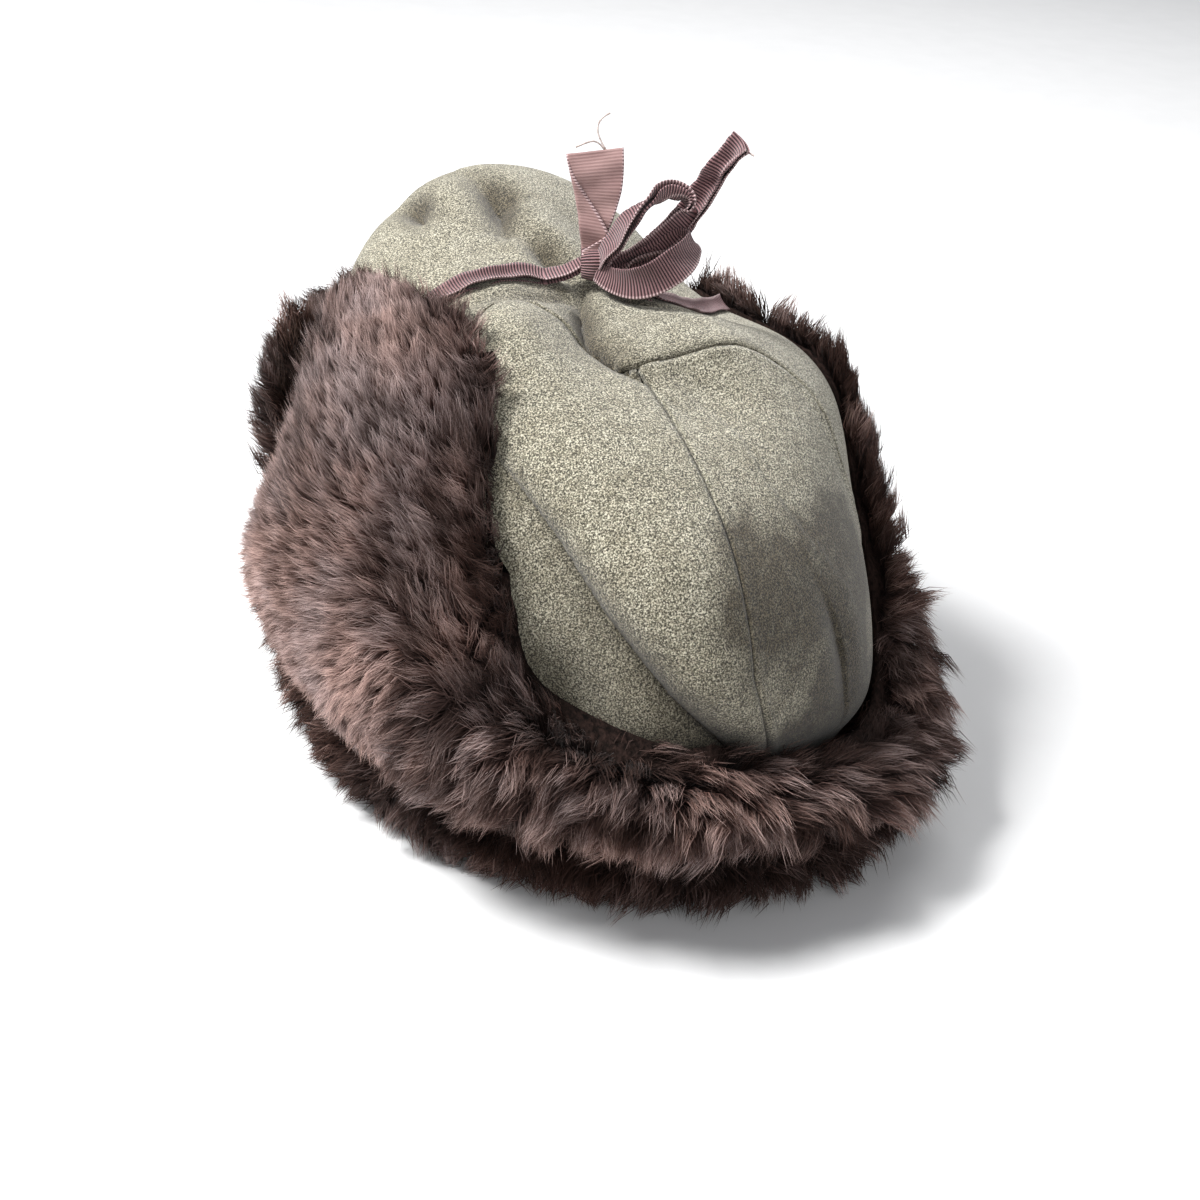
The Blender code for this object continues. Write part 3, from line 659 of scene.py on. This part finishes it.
def depth_below(tree, point, normal):
    """How thick the fur is straight below a point, in mm."""
    hit = tree.ray_cast(Vector((point - normal * 0.05) * MM), Vector(-normal), 0.08)
    return 6.0 if hit[3] is None else hit[3] / MM


def hair_share(name, middle, facing):
    """How much hair grows at each face: all on the side away from the crown, none on the side
    towards it or on the next pelt, and little flat under the rim."""
    outside = dots(facing, out_of_crown(middle))
    if name == "fur_rim":
        return np.where(middle[:, 2] < 1.5, 0.12, np.clip((outside + 0.5) / 0.3, 0.0, 1.0))
    share = np.clip((outside + 0.7) / 0.3, 0.0, 1.0)
    if PELTS[name][0] == "ear_nape_flap":
        share = np.where(region_of(middle) == name, share, 0.0)
    return share


def plant(name, piece, count, seed):
    """Random places on a pelt, evenly by area where hair grows."""
    mesh = piece.data
    chance = np.random.default_rng(seed)
    corners = np.empty(len(mesh.polygons) * 3, int)
    mesh.polygons.foreach_get("vertices", corners)
    corners = corners.reshape(-1, 3)
    points, normals = points_of(piece), vectors_of(piece, "normal")
    a, b, c = (points[corners[:, i]] for i in range(3))
    middle = (a + b + c) / 3
    facing = unit(np.cross(b - a, c - a))
    area = np.linalg.norm(np.cross(b - a, c - a), axis=1) * hair_share(name, middle, facing)
    chosen = chance.choice(len(area), size=count, p=area / area.sum())
    s, t = chance.random(count), chance.random(count)
    over = s + t > 1
    s[over], t[over] = 1 - s[over], 1 - t[over]
    shares = np.stack((1 - s - t, s, t), 1)[:, :, None]
    at = (points[corners[chosen]] * shares).sum(1)
    facing = unit((normals[corners[chosen]] * shares).sum(1))
    return at, facing


def hair_mesh(name, root, middle, tip, side, width, tone, shade):
    """One mesh of tapered blades, each bent once and pointed, with a map whose width is a
    hair's shade, painted shade and light included, and whose height runs from root to tip."""
    count = len(root)
    near = side * width[:, None] / 2
    rows = (root - near * 0.7, root + near * 0.7, middle - near, middle + near, tip)
    points = np.stack(rows, 1).reshape(-1, 3) * MM
    corners = np.arange(count)[:, None] * 5 + [0, 1, 3, 2, 2, 3, 4]
    sizes = np.tile([4, 3], count)
    mesh = bpy.data.meshes.new(name)
    mesh.vertices.add(len(points))
    mesh.vertices.foreach_set("co", points.ravel())
    mesh.loops.add(corners.size)
    mesh.loops.foreach_set("vertex_index", corners.ravel())
    mesh.polygons.add(len(sizes))
    mesh.polygons.foreach_set("loop_start", np.concatenate(([0], np.cumsum(sizes)[:-1])))
    mesh.update(calc_edges=True)
    heights = np.stack((tone * 0, tone * 0, tone * 0.55, tone * 0.55, tone), 1)
    wide = np.clip(shade[:, None] * 0.98 + np.array([0, 1, 0, 1, 0.5]) * 0.01, 0.002, 0.998)
    uv = np.stack((wide, np.clip(heights, 0.002, 0.998)), 2).reshape(-1, 2)
    mesh.uv_layers.new(name="OFBake").data.foreach_set("uv", uv[corners.ravel()].ravel())
    mesh.shade_smooth()
    piece = bpy.data.objects.new(name, mesh)
    bpy.context.scene.collection.objects.link(piece)
    return piece


# At the left ear the long hairs at the pelt's edge fall over the felt towards the nape, this
# far at each height.
FRINGE_WAY, FRINGE_LOWEST = np.array((-0.72, 0.60, 0.20)), 32
FRINGE_FALL = ((60, 0), (78, 7), (100, 12), (122, 12), (138, 7), (152, 2))


def over_the_felt(name, points):
    """How far the edge hairs at these places fall over the felt, in mm."""
    if name != "fur_left_ear":
        return np.zeros(len(points))
    heights, falls = zip(*FRINGE_FALL)
    return np.interp(points[:, 2], heights, falls) * np.clip((110 - bearing_of(points)) / 25, 0, 1)


def from_felt(points):
    """How far each place is from the felt, up to 40 mm."""
    gaps = np.full(len(points), 40.0)
    for tree in FELT_TREES:
        for i, point in enumerate(points * MM):
            hit = tree.find_nearest(Vector(point), 40 * MM)
            if hit[3] is not None:
                gaps[i] = min(gaps[i], hit[3] / MM)
    return gaps


def lift_off_felt(points, chosen, clear):
    """Moves those of the chosen points that would be in the felt out to lie on it."""
    for i, room in zip(chosen, np.broadcast_to(clear, len(chosen))):
        for tree in FELT_TREES:
            place = Vector(points[i] * MM)
            spot, facing, _, _ = tree.find_nearest(place, 14 * MM)
            if spot is not None:
                above = (place - spot).dot(facing) / MM
                outward = facing.dot(place - Vector(DOME_MIDDLE) * MM) > 0
                if outward and above < room:
                    points[i] += np.array(facing) * (room - above)


def grow(name, pelt, tree, seed):
    """The hairs of one pelt, gathered into locks that point the way the fur lies."""
    hairs, locks, length, lean, lift, gap, curl, blade = PELTS[name][1:]
    chance = np.random.default_rng(seed)
    at, facing = plant(name, pelt, hairs, seed)
    lock_at, lock_facing = plant(name, pelt, locks, seed + 50)
    flow = fur_flow(name, at, facing)
    lock_flow = fur_flow(name, lock_at, lock_facing)
    finder = finder_of(lock_at)
    nearest = np.array([finder.find(Vector(spot))[1] for spot in at])
    away = at - lock_at[nearest]
    spread = np.linalg.norm(away, axis=1)
    wide = np.full(locks, 1.0)
    np.maximum.at(wide, nearest, spread)
    edge = np.clip(spread / wide[nearest], 0, 1)
    deep = np.array([depth_below(tree, p, n) for p, n in zip(at, facing)])
    short = np.clip(deep / 12, 0.5, 1.0)
    own = short * (1 + 0.22 * chance.standard_normal(hairs).clip(-2, 2))
    own *= chance.uniform(0.75, 1.25, locks)[nearest]
    root = at - facing * np.minimum(deep * ROOT_DEPTH, 9)[:, None]
    stray = 0.16 * chance.standard_normal((locks, 3))
    lock_way = unit(lock_flow * lean + lock_facing * lift * 0.4 + stray)
    stray = 0.12 * chance.standard_normal((hairs, 3))
    ahead = unit(flow * lean + facing * lift * 0.4 + stray)
    sink = gap * edge**2 + 0.5 * chance.random(hairs)
    free = at + ahead * (length * own * 0.75)[:, None] - facing * sink[:, None]
    gathered = lock_at[nearest] + lock_way[nearest] * (length * own * 0.85)[:, None]
    gathered += away * 0.35 - facing * (sink * 0.7)[:, None]
    pull = (0.35 + 0.45 * chance.random(hairs))[:, None]
    tip = free * (1 - pull) + gathered * pull
    bend = unit(np.cross(facing, flow)) * (curl * chance.standard_normal(hairs))[:, None]
    lock_bend = curl * chance.standard_normal(locks)[nearest]
    bend += unit(np.cross(lock_facing, lock_flow))[nearest] * lock_bend[:, None]
    middle = root + (tip - root) * 0.52 + facing * (0.20 * length * own)[:, None] + bend
    outside = dots(facing, out_of_crown(at))
    fringe = np.flatnonzero((outside < 0.6) & (at[:, 2] > FRINGE_LOWEST))
    over = over_the_felt(name, at[fringe])
    tip[fringe] += (FRINGE_WAY * over[:, None]) * chance.uniform(0.4, 1.15, len(fringe))[:, None]
    middle[fringe] += FRINGE_WAY * over[:, None] * 0.4
    lift_off_felt(middle, fringe, 0.8)
    lift_off_felt(tip, fringe, chance.uniform(0.6, 3.0, len(fringe)))
    for row in (middle, tip, root):
        row[:, 2] = np.maximum(row[:, 2], FLOOR_CLEAR)
    roll = chance.uniform(-0.9, 0.9, hairs)[:, None]
    side = np.cross(unit(tip - root), facing)
    side = unit(unit(side) * np.cos(roll) + facing * np.sin(roll))
    # Lighter or darker in patches, from lock to lock and hair to hair. Painted shade darkens hairs at
    #     a lock's edge, where the pelt is thin, low down and against the felt, and painted light
    #     lifts them high up.
    mottle = 0.30 * wander(at, 26, seed + 1) + 0.30 * wander(at, 9, seed + 2)
    lock_shade = chance.normal(0, 0.18, locks)
    thin = np.clip(1 - deep / 13, 0, 1)
    lit = np.interp(at[:, 2], (0, 22, 60, 150), (-0.32, -0.22, 0.0, 0.06))
    shade = 0.50 + mottle + lock_shade[nearest] + chance.normal(0, 0.18, hairs)
    shade = shade - 0.26 * edge - 0.40 * thin + lit
    shade -= 0.34 * np.exp(-from_felt(at) / 9)
    # The left ear's hairs are paler, and partly that is painted light from the lamp on that side;
    # painted shade darkens its front edge in the gap beside the brow flap.
    if name == "fur_left_ear":
        shade += 0.36 - 0.66 * np.clip((bearing_of(at) - 100) / 12, 0, 1)
    if name == "fur_rim":
        shade -= 0.14
    shade = np.clip(shade, 0.02, 0.98)
    # Painted shade: the hairs at a lock's edge show less of their pale tips; the left ear's show
    # more, partly as painted light.
    tone = 1 - 0.35 * edge + 0.1 * chance.standard_normal(hairs)
    tone = np.clip(tone + (0.25 if name == "fur_left_ear" else 0.0), 0.35, 1.0)
    width = blade * chance.uniform(0.7, 1.25, hairs)
    return hair_mesh(name, root, middle, tip, side, width, tone, shade)


HAIR_DARK = ((0, (0.006, 0.003, 0.0025)), (0.45, (0.022, 0.010, 0.007)), (1, (0.072, 0.036, 0.027)))
HAIR_LIGHT = ((0, (0.012, 0.006, 0.005)), (0.45, (0.145, 0.082, 0.069)), (1, (0.72, 0.555, 0.52)))


def fur_material():
    """Soft hair that is nearly black at its roots, brown along its length and a pale rosy brown
    at its tips, a little lighter or darker from lock to lock, and with the painted shade and painted
    light that each hair's map carries."""
    material, tree = new_material("fur_brown_pale_tips")
    cells = node_of(tree, "UVMap", uv_map="OFBake")
    parts = node_of(tree, "SeparateXYZ", {"Vector": cells.outputs["UV"]}).outputs
    dark, light = (ramp_of(tree, parts["Y"], stops) for stops in (HAIR_DARK, HAIR_LIGHT))
    colour = mix_of(tree, "MIX", dark, light, parts["X"])
    drift = noise_of(tree, 32.0, 2.0)["Fac"]
    warmth = ramp_of(tree, drift, ((0.38, (0.95, 0.98, 1.0)), (0.62, (1.0, 0.90, 0.84))))
    colour = mix_of(tree, "MULTIPLY", colour, warmth, 1.0)
    return finish_look(material, colour, 0.7, 0.18, 0.04, 0.5)


def skin_material():
    """The close underfur at the foot of the hairs, dark and matted."""
    material, tree = new_material("fur_dark_underfur")
    matted = noise_of(tree, 500.0, 3.0)["Fac"]
    colour = ramp_of(tree, matted, ((0.35, (0.008, 0.005, 0.004)), (0.7, (0.030, 0.017, 0.014))))
    return finish_look(material, colour, 0.95, 0.1, relief=(matted, 0.002, 0.8))


fur = fur_material()
underfur = skin_material()
FELT_TREES = [tree_of(piece.data) for piece in bpy.data.objects if piece.name.startswith("felt_")]
seed = 20
for node in ("ear_nape_flap", "brow_flap", "rim_fur"):
    pelt = pelt_of(node)
    if node == "ear_nape_flap":
        draw_up(pelt, DRAWN_UP)
    if node == "brow_flap":
        draw_up(pelt, STANDS_AWAY)
    tree = tree_of(pelt.data)
    for name in [key for key, row in PELTS.items() if row[0] == node]:
        seed += 7
        coat = grow(name, pelt, tree, seed)
        coat.data.materials.append(fur)
        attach(coat, "root")
    points, normals = points_of(pelt), vectors_of(pelt, "normal")
    deep = np.array([depth_below(tree, p, n) for p, n in zip(points, normals)])
    outside = dots(normals, out_of_crown(points))
    sunk = np.minimum(deep * SKIN_DEPTH, 7) * np.clip((outside + 0.4) / 0.4, 0.0, 1.0)
    move_to(pelt, points - normals * sunk[:, None])
    pelt.name = pelt.data.name = "skin_of_" + node
    alone(pelt)
    bpy.ops.object.shade_smooth()
    pelt.data.materials.append(underfur)
    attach(pelt, "root")
    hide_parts(node)

# The ribbons are grosgrain 21 mm wide, dusty mauve, with a rib across every millimetre and a
# looped edge. Each is sewn under the fur of an ear, drawn up over the crown, gathered along its
# length and tied to the other in one bow, whose cut ends have frayed.
RIBBON_WIDTH, RIBBON_WALL, RIB = 21.0, 0.45, 1.0
PLEAT_GAP, MAP_UNIT = 1.1, 100
RIBBONS = {
    # The node, how the cloth is held, and whether it is pleated under or over itself. Then its
    # route through the middle of the part that shows: the place, the way it faces, how much of
    # its width shows as the rest is pleated away, and how hollow that part is in mm.
    "ribbon_to_left_ear": ("ribbon_left", "gathered", -1, (
        (49, -13.6, 157, 0.5, 0.1, 0.8, 0.4, 2),
        (37.2, -14.4, 162, 0.4, 0.25, 0.88, 0.38, 2.6),
        (25.1, -15.2, 163.7, 0.2, 0.35, 0.92, 0.36, 3),
        (14, -16, 163.9, 0.1, 0.35, 0.95, 0.38, 2.4),
        (5.1, -14.4, 163.6, 0.05, 0.35, 0.95, 0.34, 0.6),
        (-3, -12.6, 163.2, 0.05, 0.35, 0.95, 0.26, 0),
    )),
    "ribbon_to_right_ear": ("ribbon_right", "gathered", -1, (
        (-71, -32, 135, -0.7, 0.05, 0.7, 0.36, 0.8),
        (-61, -25, 143, -0.55, 0.05, 0.83, 0.36, 1.2),
        (-50, -16, 150, -0.35, 0.1, 0.93, 0.38, 1.6),
        (-38.5, -6.5, 155.5, -0.15, 0.15, 0.98, 0.38, 1.6),
        (-27.5, -3, 160.5, 0, 0.1, 0.99, 0.33, 1),
        (-20, -4.7, 161.2, 0, 0.1, 0.99, 0.28, 0.5),
        (-12.2, -7.5, 160.4, 0, 0.1, 0.99, 0.24, 0),
    )),
    "bow_loop_upper_strip": ("bow_loop_upper", "folded", -1, (
        (-5.9, -7.8, 163.4, 0.57, 0.38, 0.73, 0.3, 0.5),
        (-6.8, -5.3, 168.3, 0.59, 0.3, 0.75, 0.42, 1),
        (-9.4, -2.1, 175.3, 0.57, 0.25, 0.78, 0.5, 1.4),
        (-12.7, 0.2, 182.3, 0.54, 0.06, 0.84, 0.44, 1.5),
        (-16.2, 1.5, 187.1, 0.35, -0.32, 0.88, 0.34, 1),
        (-20.6, 0.9, 189.4, -0.12, -0.8, 0.58, 0.34, 1),
        (-26.5, 1.2, 189.7, -0.45, -0.78, 0.44, 0.4, 0.5),
        (-31.7, 2.6, 187.8, -0.81, -0.35, 0.46, 0.44, 0.5),
        (-33, 3.8, 183.1, -0.63, 0.62, 0.47, 0.5, 1),
        (-29.1, 3.8, 178.1, -0.2, 0.91, 0.37, 0.5, 1),
        (-24.1, 1.9, 173.2, 0.08, 0.94, 0.32, 0.42, 1),
        (-18.2, -2.6, 167.5, 0.23, 0.87, 0.43, 0.32, 0.5),
        (-10.4, -9.4, 161.7, 0.31, 0.8, 0.52, 0.24, 0),
    )),
    "bow_loop_lower_strip": ("bow_loop_lower", "folded", -1, (
        (-5.4, -6.5, 161.2, 0.52, 0.85, 0, 0.3, 0),
        (-7.3, 0.1, 160.8, 0.48, 0.88, 0.01, 0.42, 0.5),
        (-11.1, 6.9, 161.5, 0.43, 0.9, 0.01, 0.52, 1),
        (-16.9, 11.9, 164.5, 0.34, 0.94, 0.08, 0.58, 1),
        (-23.4, 13.7, 168.9, 0.15, 0.97, 0.18, 0.58, 1),
        (-30.3, 10.9, 172.5, -0.33, 0.89, 0.32, 0.52, 1),
        (-33.8, 6.1, 174.5, -0.86, 0.33, 0.39, 0.46, 1),
        (-31.8, 2.3, 174.7, -0.67, -0.53, 0.51, 0.42, 1),
        (-26, -0.1, 171.7, -0.23, -0.8, 0.56, 0.4, 0.5),
        (-19.4, -3.5, 167.7, -0.1, -0.78, 0.62, 0.34, 0.5),
        (-10.7, -8.6, 162.6, -0.16, -0.69, 0.71, 0.24, 0),
    )),
    "bow_tail_left_strip": ("bow_tail_left", "folded", 1, (
        (-6, -12, 163.9, 0.38, 0.7, 0.6, 0.3, 0),
        (-6.5, -12.6, 167.1, 0.38, 0.7, 0.6, 0.36, 0.3),
        (-6.6, -12.3, 172.6, 0.39, 0.73, 0.56, 0.48, 0.5),
        (-7.5, -13.1, 180.3, 0.4, 0.76, 0.52, 0.68, 0.8),
        (-7.7, -13.8, 187.3, 0.42, 0.75, 0.51, 0.84, 0.8),
        (-7.5, -15, 192.9, 0.45, 0.73, 0.51, 0.93, 0.6),
        (-7.5, -17.1, 197.8, 0.47, 0.72, 0.51, 0.98, 0.4),
    )),
    "bow_tail_right_strip": ("bow_tail_right", "folded", 1, (
        (-9.7, -9.4, 161.1, 0.33, 0.57, 0.75, 0.24, 0),
        (-15.1, -7.2, 162, 0.33, 0.57, 0.75, 0.32, 1),
        (-21.9, -4.5, 165.4, 0.42, 0.53, 0.74, 0.42, 2),
        (-28.7, -2.3, 171.3, 0.5, 0.47, 0.72, 0.5, 4),
        (-34.7, -1, 178, 0.58, 0.41, 0.7, 0.52, 5),
        (-38.2, 1.3, 185.1, 0.64, 0.41, 0.66, 0.5, 6),
        (-40.7, 3.5, 191.6, 0.64, 0.41, 0.66, 0.46, 6),
        (-42.7, 5.7, 197.7, 0.58, 0.41, 0.7, 0.42, 5),
        (-45, 7.7, 202.3, 0.58, 0.41, 0.7, 0.44, 4),
        (-46.8, 9.1, 205.5, 0.58, 0.41, 0.7, 0.5, 3),
    )),
}
# The knot is one turn of the ribbon round the others: its middle, how far it reaches up and
# out, how much of its width shows and how hollow that is, the way it faces, the line that it
# turns round, where it starts and how far it goes in degrees.
KNOT_MIDDLE, KNOT_UP, KNOT_OUT, KNOT_SHARE, KNOT_BOWL = (-6.0, -11.4, 162.6), 6.0, 4.6, 0.36, -0.8
KNOT_FACE, KNOT_AXIS, KNOT_START, KNOT_TURN = (0.402, 0.757, 0.515), (-0.90, 0.43, 0.07), 150, 400
# A route's steps: how many there are, over how many to each side its height is averaged where
# it lies on the felt, and over how many it rises to the knot.
STEPS, LAID_OVER, RISES_OVER = 400, 60, 90


def run_of(line):
    """How far along a line each of its points is."""
    steps = np.linalg.norm(np.diff(line[:, :3], axis=0), axis=1)
    return np.concatenate(([0], np.cumsum(steps)))


def spine_of(rows):
    """A smooth line through a route's rows, with all their values."""
    rows = np.array(rows, float)
    knots = run_of(rows)
    slopes = np.gradient(rows, knots, axis=0)
    fine = np.linspace(0, knots[-1], STEPS)
    i = np.clip(np.searchsorted(knots, fine) - 1, 0, len(rows) - 2)
    step = (knots[i + 1] - knots[i])[:, None]
    t = (fine[:, None] - knots[i][:, None]) / step
    return (
        rows[i] * (1 + 2 * t) * (1 - t) ** 2 + rows[i + 1] * t**2 * (3 - 2 * t)
        + slopes[i] * step * t * (1 - t) ** 2 + slopes[i + 1] * step * t**2 * (t - 1)
    )


def lay_on_felt(line):
    """Lets a route down to the felt, apart from the last of it, which rises to the knot."""
    heights = line[:, 2].copy()
    for i, spot in enumerate(line):
        over = Vector((spot[0] * MM, spot[1] * MM, 0.2))
        hits = [tree.ray_cast(over, Vector((0, 0, -1)))[0] for tree in FELT_TREES]
        top = max((hit.z / MM for hit in hits if hit is not None), default=spot[2])
        heights[i] = top + PLEAT_GAP * 2.4
    padded = np.pad(heights, LAID_OVER, mode="edge")
    samples = 2 * LAID_OVER + 1
    heights = np.convolve(padded, np.full(samples, 1 / samples), mode="valid")
    share = np.clip((len(line) - 1 - np.arange(len(line))) / RISES_OVER, 0, 1)
    line[:, 2] += (heights - line[:, 2]) * share


def ribbon_strip(name, rows, pleat, seed):
    """A grid laid along a route, pleated where less than its width shows, with a wall."""
    line = spine_of(rows)
    if name.startswith("ribbon_to"):
        lay_on_felt(line)
    run = run_of(line)
    bpy.ops.object.select_all(action="DESELECT")
    bpy.ops.mesh.primitive_grid_add(x_subdivisions=int(run[-1] * 2), y_subdivisions=24, size=1)
    piece = bpy.context.object
    piece.name = piece.data.name = name
    flat = np.array([v.co[:] for v in piece.data.vertices])
    along, across = (flat[:, 0] + 0.5) * run[-1], flat[:, 1] + 0.5
    at = np.stack([np.interp(along, run, line[:, i]) for i in range(line.shape[1])], 1)
    way = np.gradient(line[:, :3], run, axis=0)
    way = unit(np.stack([np.interp(along, run, way[:, i]) for i in range(3)], 1))
    face = unit(at[:, 3:6] - way * dots(at[:, 3:6], way)[:, None])
    aside = np.cross(face, way)
    wide = np.clip(at[:, 6], 0.2, 0.99) * RIBBON_WIDTH
    turns = across * RIBBON_WIDTH / wide
    swing = np.arccos(0.985 * np.cos(math.pi * turns)) / math.pi
    span = wide * (swing - 0.5)
    wave = 0.5 * wander(np.stack((along, across * 14, along * 0), 1), 9, seed)
    height = pleat * PLEAT_GAP * turns + at[:, 7] * ((2 * span / wide) ** 2 - 0.4) + wave
    move_to(piece, at[:, :3] + aside * span[:, None] + face * height[:, None])
    loops = np.empty(len(piece.data.loops), int)
    piece.data.loops.foreach_get("vertex_index", loops)
    cloth = np.stack((along / MAP_UNIT, across * RIBBON_WIDTH / MAP_UNIT), 1)[loops]
    piece.data.uv_layers.active.data.foreach_set("uv", cloth.ravel())
    wall = {"thickness": RIBBON_WALL * MM, "offset": 0}
    finish_with(piece, "SOLIDIFY", material_offset=1, material_offset_rim=1, **wall)
    bpy.ops.object.shade_smooth()
    return piece, run[-1]


def ribbon_material(name, groove, ridge, strength):
    """Ribbed ribbon: fine ribs across its width with painted shade in the grooves between them, a
    looped edge that is paler with painted shade between its loops, and a slight shine along the ribs."""
    material, tree = new_material(name)
    cloth = node_of(tree, "UVMap", uv_map="UVMap")
    parts = node_of(tree, "SeparateXYZ", {"Vector": cloth.outputs["UV"]}).outputs
    turns = math_of(tree, "MULTIPLY", parts["X"], MAP_UNIT * 2 * math.pi / RIB)
    rib = share_of(tree, math_of(tree, "SINE", turns), -1.0, 1.0)
    # Painted shade: the groove colour darkens the hollows between the ribs.
    colour = ramp_of(tree, rib, ((0.25, groove), (0.62, ridge)))
    faded = noise_of(tree, 120.0, 3.0)["Fac"]
    dusty = ramp_of(tree, faded, ((0.3, (0.80, 0.76, 0.77)), (0.7, (1.0, 1.0, 1.0))))
    colour = mix_of(tree, "MULTIPLY", colour, dusty, 1.0)
    half = RIBBON_WIDTH / MAP_UNIT / 2
    off = math_of(tree, "ABSOLUTE", math_of(tree, "SUBTRACT", parts["Y"], half))
    edge = share_of(tree, off, half - 0.014, half - 0.009)
    # Painted shade between the edge's loops, in step with the ribs.
    loops = ramp_of(tree, rib, ((0.35, (0.16, 0.09, 0.09)), (0.65, (0.60, 0.43, 0.43))))
    colour = mix_of(tree, "MIX", colour, loops, edge)
    return finish_look(material, colour, 0.6, 0.3, 0.2, relief=(rib, 0.0004, strength))


# Painted shade in the grooves: deep on the ribbed face, slight on the fine side.
ribbed = ribbon_material("ribbon_ribbed_mauve", (0.035, 0.012, 0.015), (0.34, 0.19, 0.195), 1.0)
fine_side = ribbon_material("ribbon_fine_side_mauve", (0.34, 0.21, 0.195), (0.40, 0.255, 0.24), 0.2)
up_the_knot = np.cross(unit(np.array(KNOT_AXIS)), -np.array(KNOT_FACE))
out_of_knot = np.cross(up_the_knot, unit(np.array(KNOT_AXIS)))
turn_rows = []
for angle in np.radians(np.linspace(KNOT_START, KNOT_START + KNOT_TURN, 14)):
    around = up_the_knot * math.cos(angle) * KNOT_UP + out_of_knot * math.sin(angle) * KNOT_OUT
    facing = up_the_knot * math.cos(angle) / KNOT_UP + out_of_knot * math.sin(angle) / KNOT_OUT
    turn_rows.append((*(np.array(KNOT_MIDDLE) + around), *unit(facing), KNOT_SHARE, KNOT_BOWL))
RIBBONS["turn_of_the_knot"] = ("bow_knot", "folded", -1, turn_rows)
strips = {}
for seed, (name, (node, held, pleat, rows)) in enumerate(RIBBONS.items(), 60):
    strip, length = ribbon_strip(name, rows, pleat, seed)
    strip.data.materials.append(fine_side if node == "bow_tail_left" else ribbed)
    strip.data.materials.append(ribbed)
    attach(strip, "root")
    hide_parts(node)
    strips[node] = (strip, held, length)

# The pale threads that have come loose at the cut ends are twisted cotton, drawn 0.6 mm thick.
# Each hangs from the tail that it was woven into.
THREAD_RADIUS = 0.3
THREADS = {
    "thread_curling_up": ("bow_tail_left", (
        (-11.3, -16.3, 197.7), (-10.3, -17.4, 199.4), (-9.1, -18.3, 201.8), (-8.6, -18.9, 204.2),
        (-9.3, -19.4, 206.6), (-11.3, -20, 207.9), (-13.6, -20.5, 208.6),
    )),
    "thread_along_the_cut": ("bow_tail_left", (
        (-10.8, -16.7, 197.9), (-9.3, -17.6, 200), (-7.3, -18, 200.9), (-5.3, -18.1, 200.5),
        (-3.6, -19, 199.6), (-2.4, -20.8, 198.3),
    )),
    "thread_at_the_right_end": ("bow_tail_right", (
        (-47.6, 9.2, 204.2), (-45.4, 10.5, 204.4), (-45.8, 12.5, 203.7), (-47.6, 14, 202.8),
    )),
}
thread_white, tree = new_material("thread_frayed_white")
twist = noise_of(tree, 900.0, 2.0)["Fac"]
colour = ramp_of(tree, twist, ((0.35, (0.36, 0.28, 0.25)), (0.6, (0.70, 0.60, 0.56))))
finish_look(thread_white, colour, 0.8)
loose = {node: [] for node in strips}
for name, (node, rows) in THREADS.items():
    route = bpy.data.curves.new(name, "CURVE")
    route.dimensions = "3D"
    route.bevel_depth, route.bevel_resolution, route.resolution_u = THREAD_RADIUS * MM, 2, 6
    route.use_fill_caps = True
    line = route.splines.new("NURBS")
    line.points.add(len(rows) - 1)
    for point, row in zip(line.points, rows):
        point.co = (*(value * MM for value in row), 1)
    line.use_endpoint_u, line.order_u = True, 4
    thread = bpy.data.objects.new(name, route)
    bpy.context.scene.collection.objects.link(thread)
    alone(thread)
    bpy.ops.object.convert(target="MESH")
    thread = bpy.context.object
    bpy.ops.object.shade_smooth()
    thread.data.materials.append(thread_white)
    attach(thread, "root")
    loose[node].append(thread)

# The floor is a plain pale board, and the light is a soft studio's: a lamp high on the left
# beyond the brow that rakes over the folds, a weak one beyond the right ear, a broad weak one
# above the nape, and a pale surround.
bpy.ops.object.select_all(action="DESELECT")
bpy.ops.mesh.primitive_plane_add(size=6)
floor = bpy.context.object
floor.name = "floor"
board, tree = new_material("floor_pale_board")
grain = noise_of(tree, 40.0, 2.0)["Fac"]
colour = ramp_of(tree, grain, ((0.3, (0.78, 0.78, 0.78)), (0.7, (0.80, 0.80, 0.80))))
finish_look(board, colour, 0.9)
floor.data.materials.append(board)

LAMPS = {
    # Place in metres, power in watts, and width in metres.
    "lamp_key": ((0.85, -0.3, 1.3), 42, 0.5),
    "lamp_rim": ((-0.75, -0.55, 1.2), 8, 0.8),
    "lamp_fill": ((0.25, 1.45, 0.85), 7, 1.2),
}
for name, (spot, power, size) in LAMPS.items():
    bpy.ops.object.light_add(type="AREA", location=spot)
    lamp = bpy.context.object
    lamp.name = name
    lamp.data.energy = power
    lamp.data.size = size
    lamp.rotation_euler = (Vector((0, 0, 0.08)) - Vector(spot)).to_track_quat("-Z", "Y").to_euler()

surround = bpy.data.worlds.new("surround")
surround.use_nodes = True
tree = surround.node_tree
fill(tree, tree.nodes["Background"], {"Color": (0.93, 0.95, 1.0), "Strength": 0.28})
bpy.context.scene.world = surround
bpy.context.scene.view_settings.view_transform = "Standard"
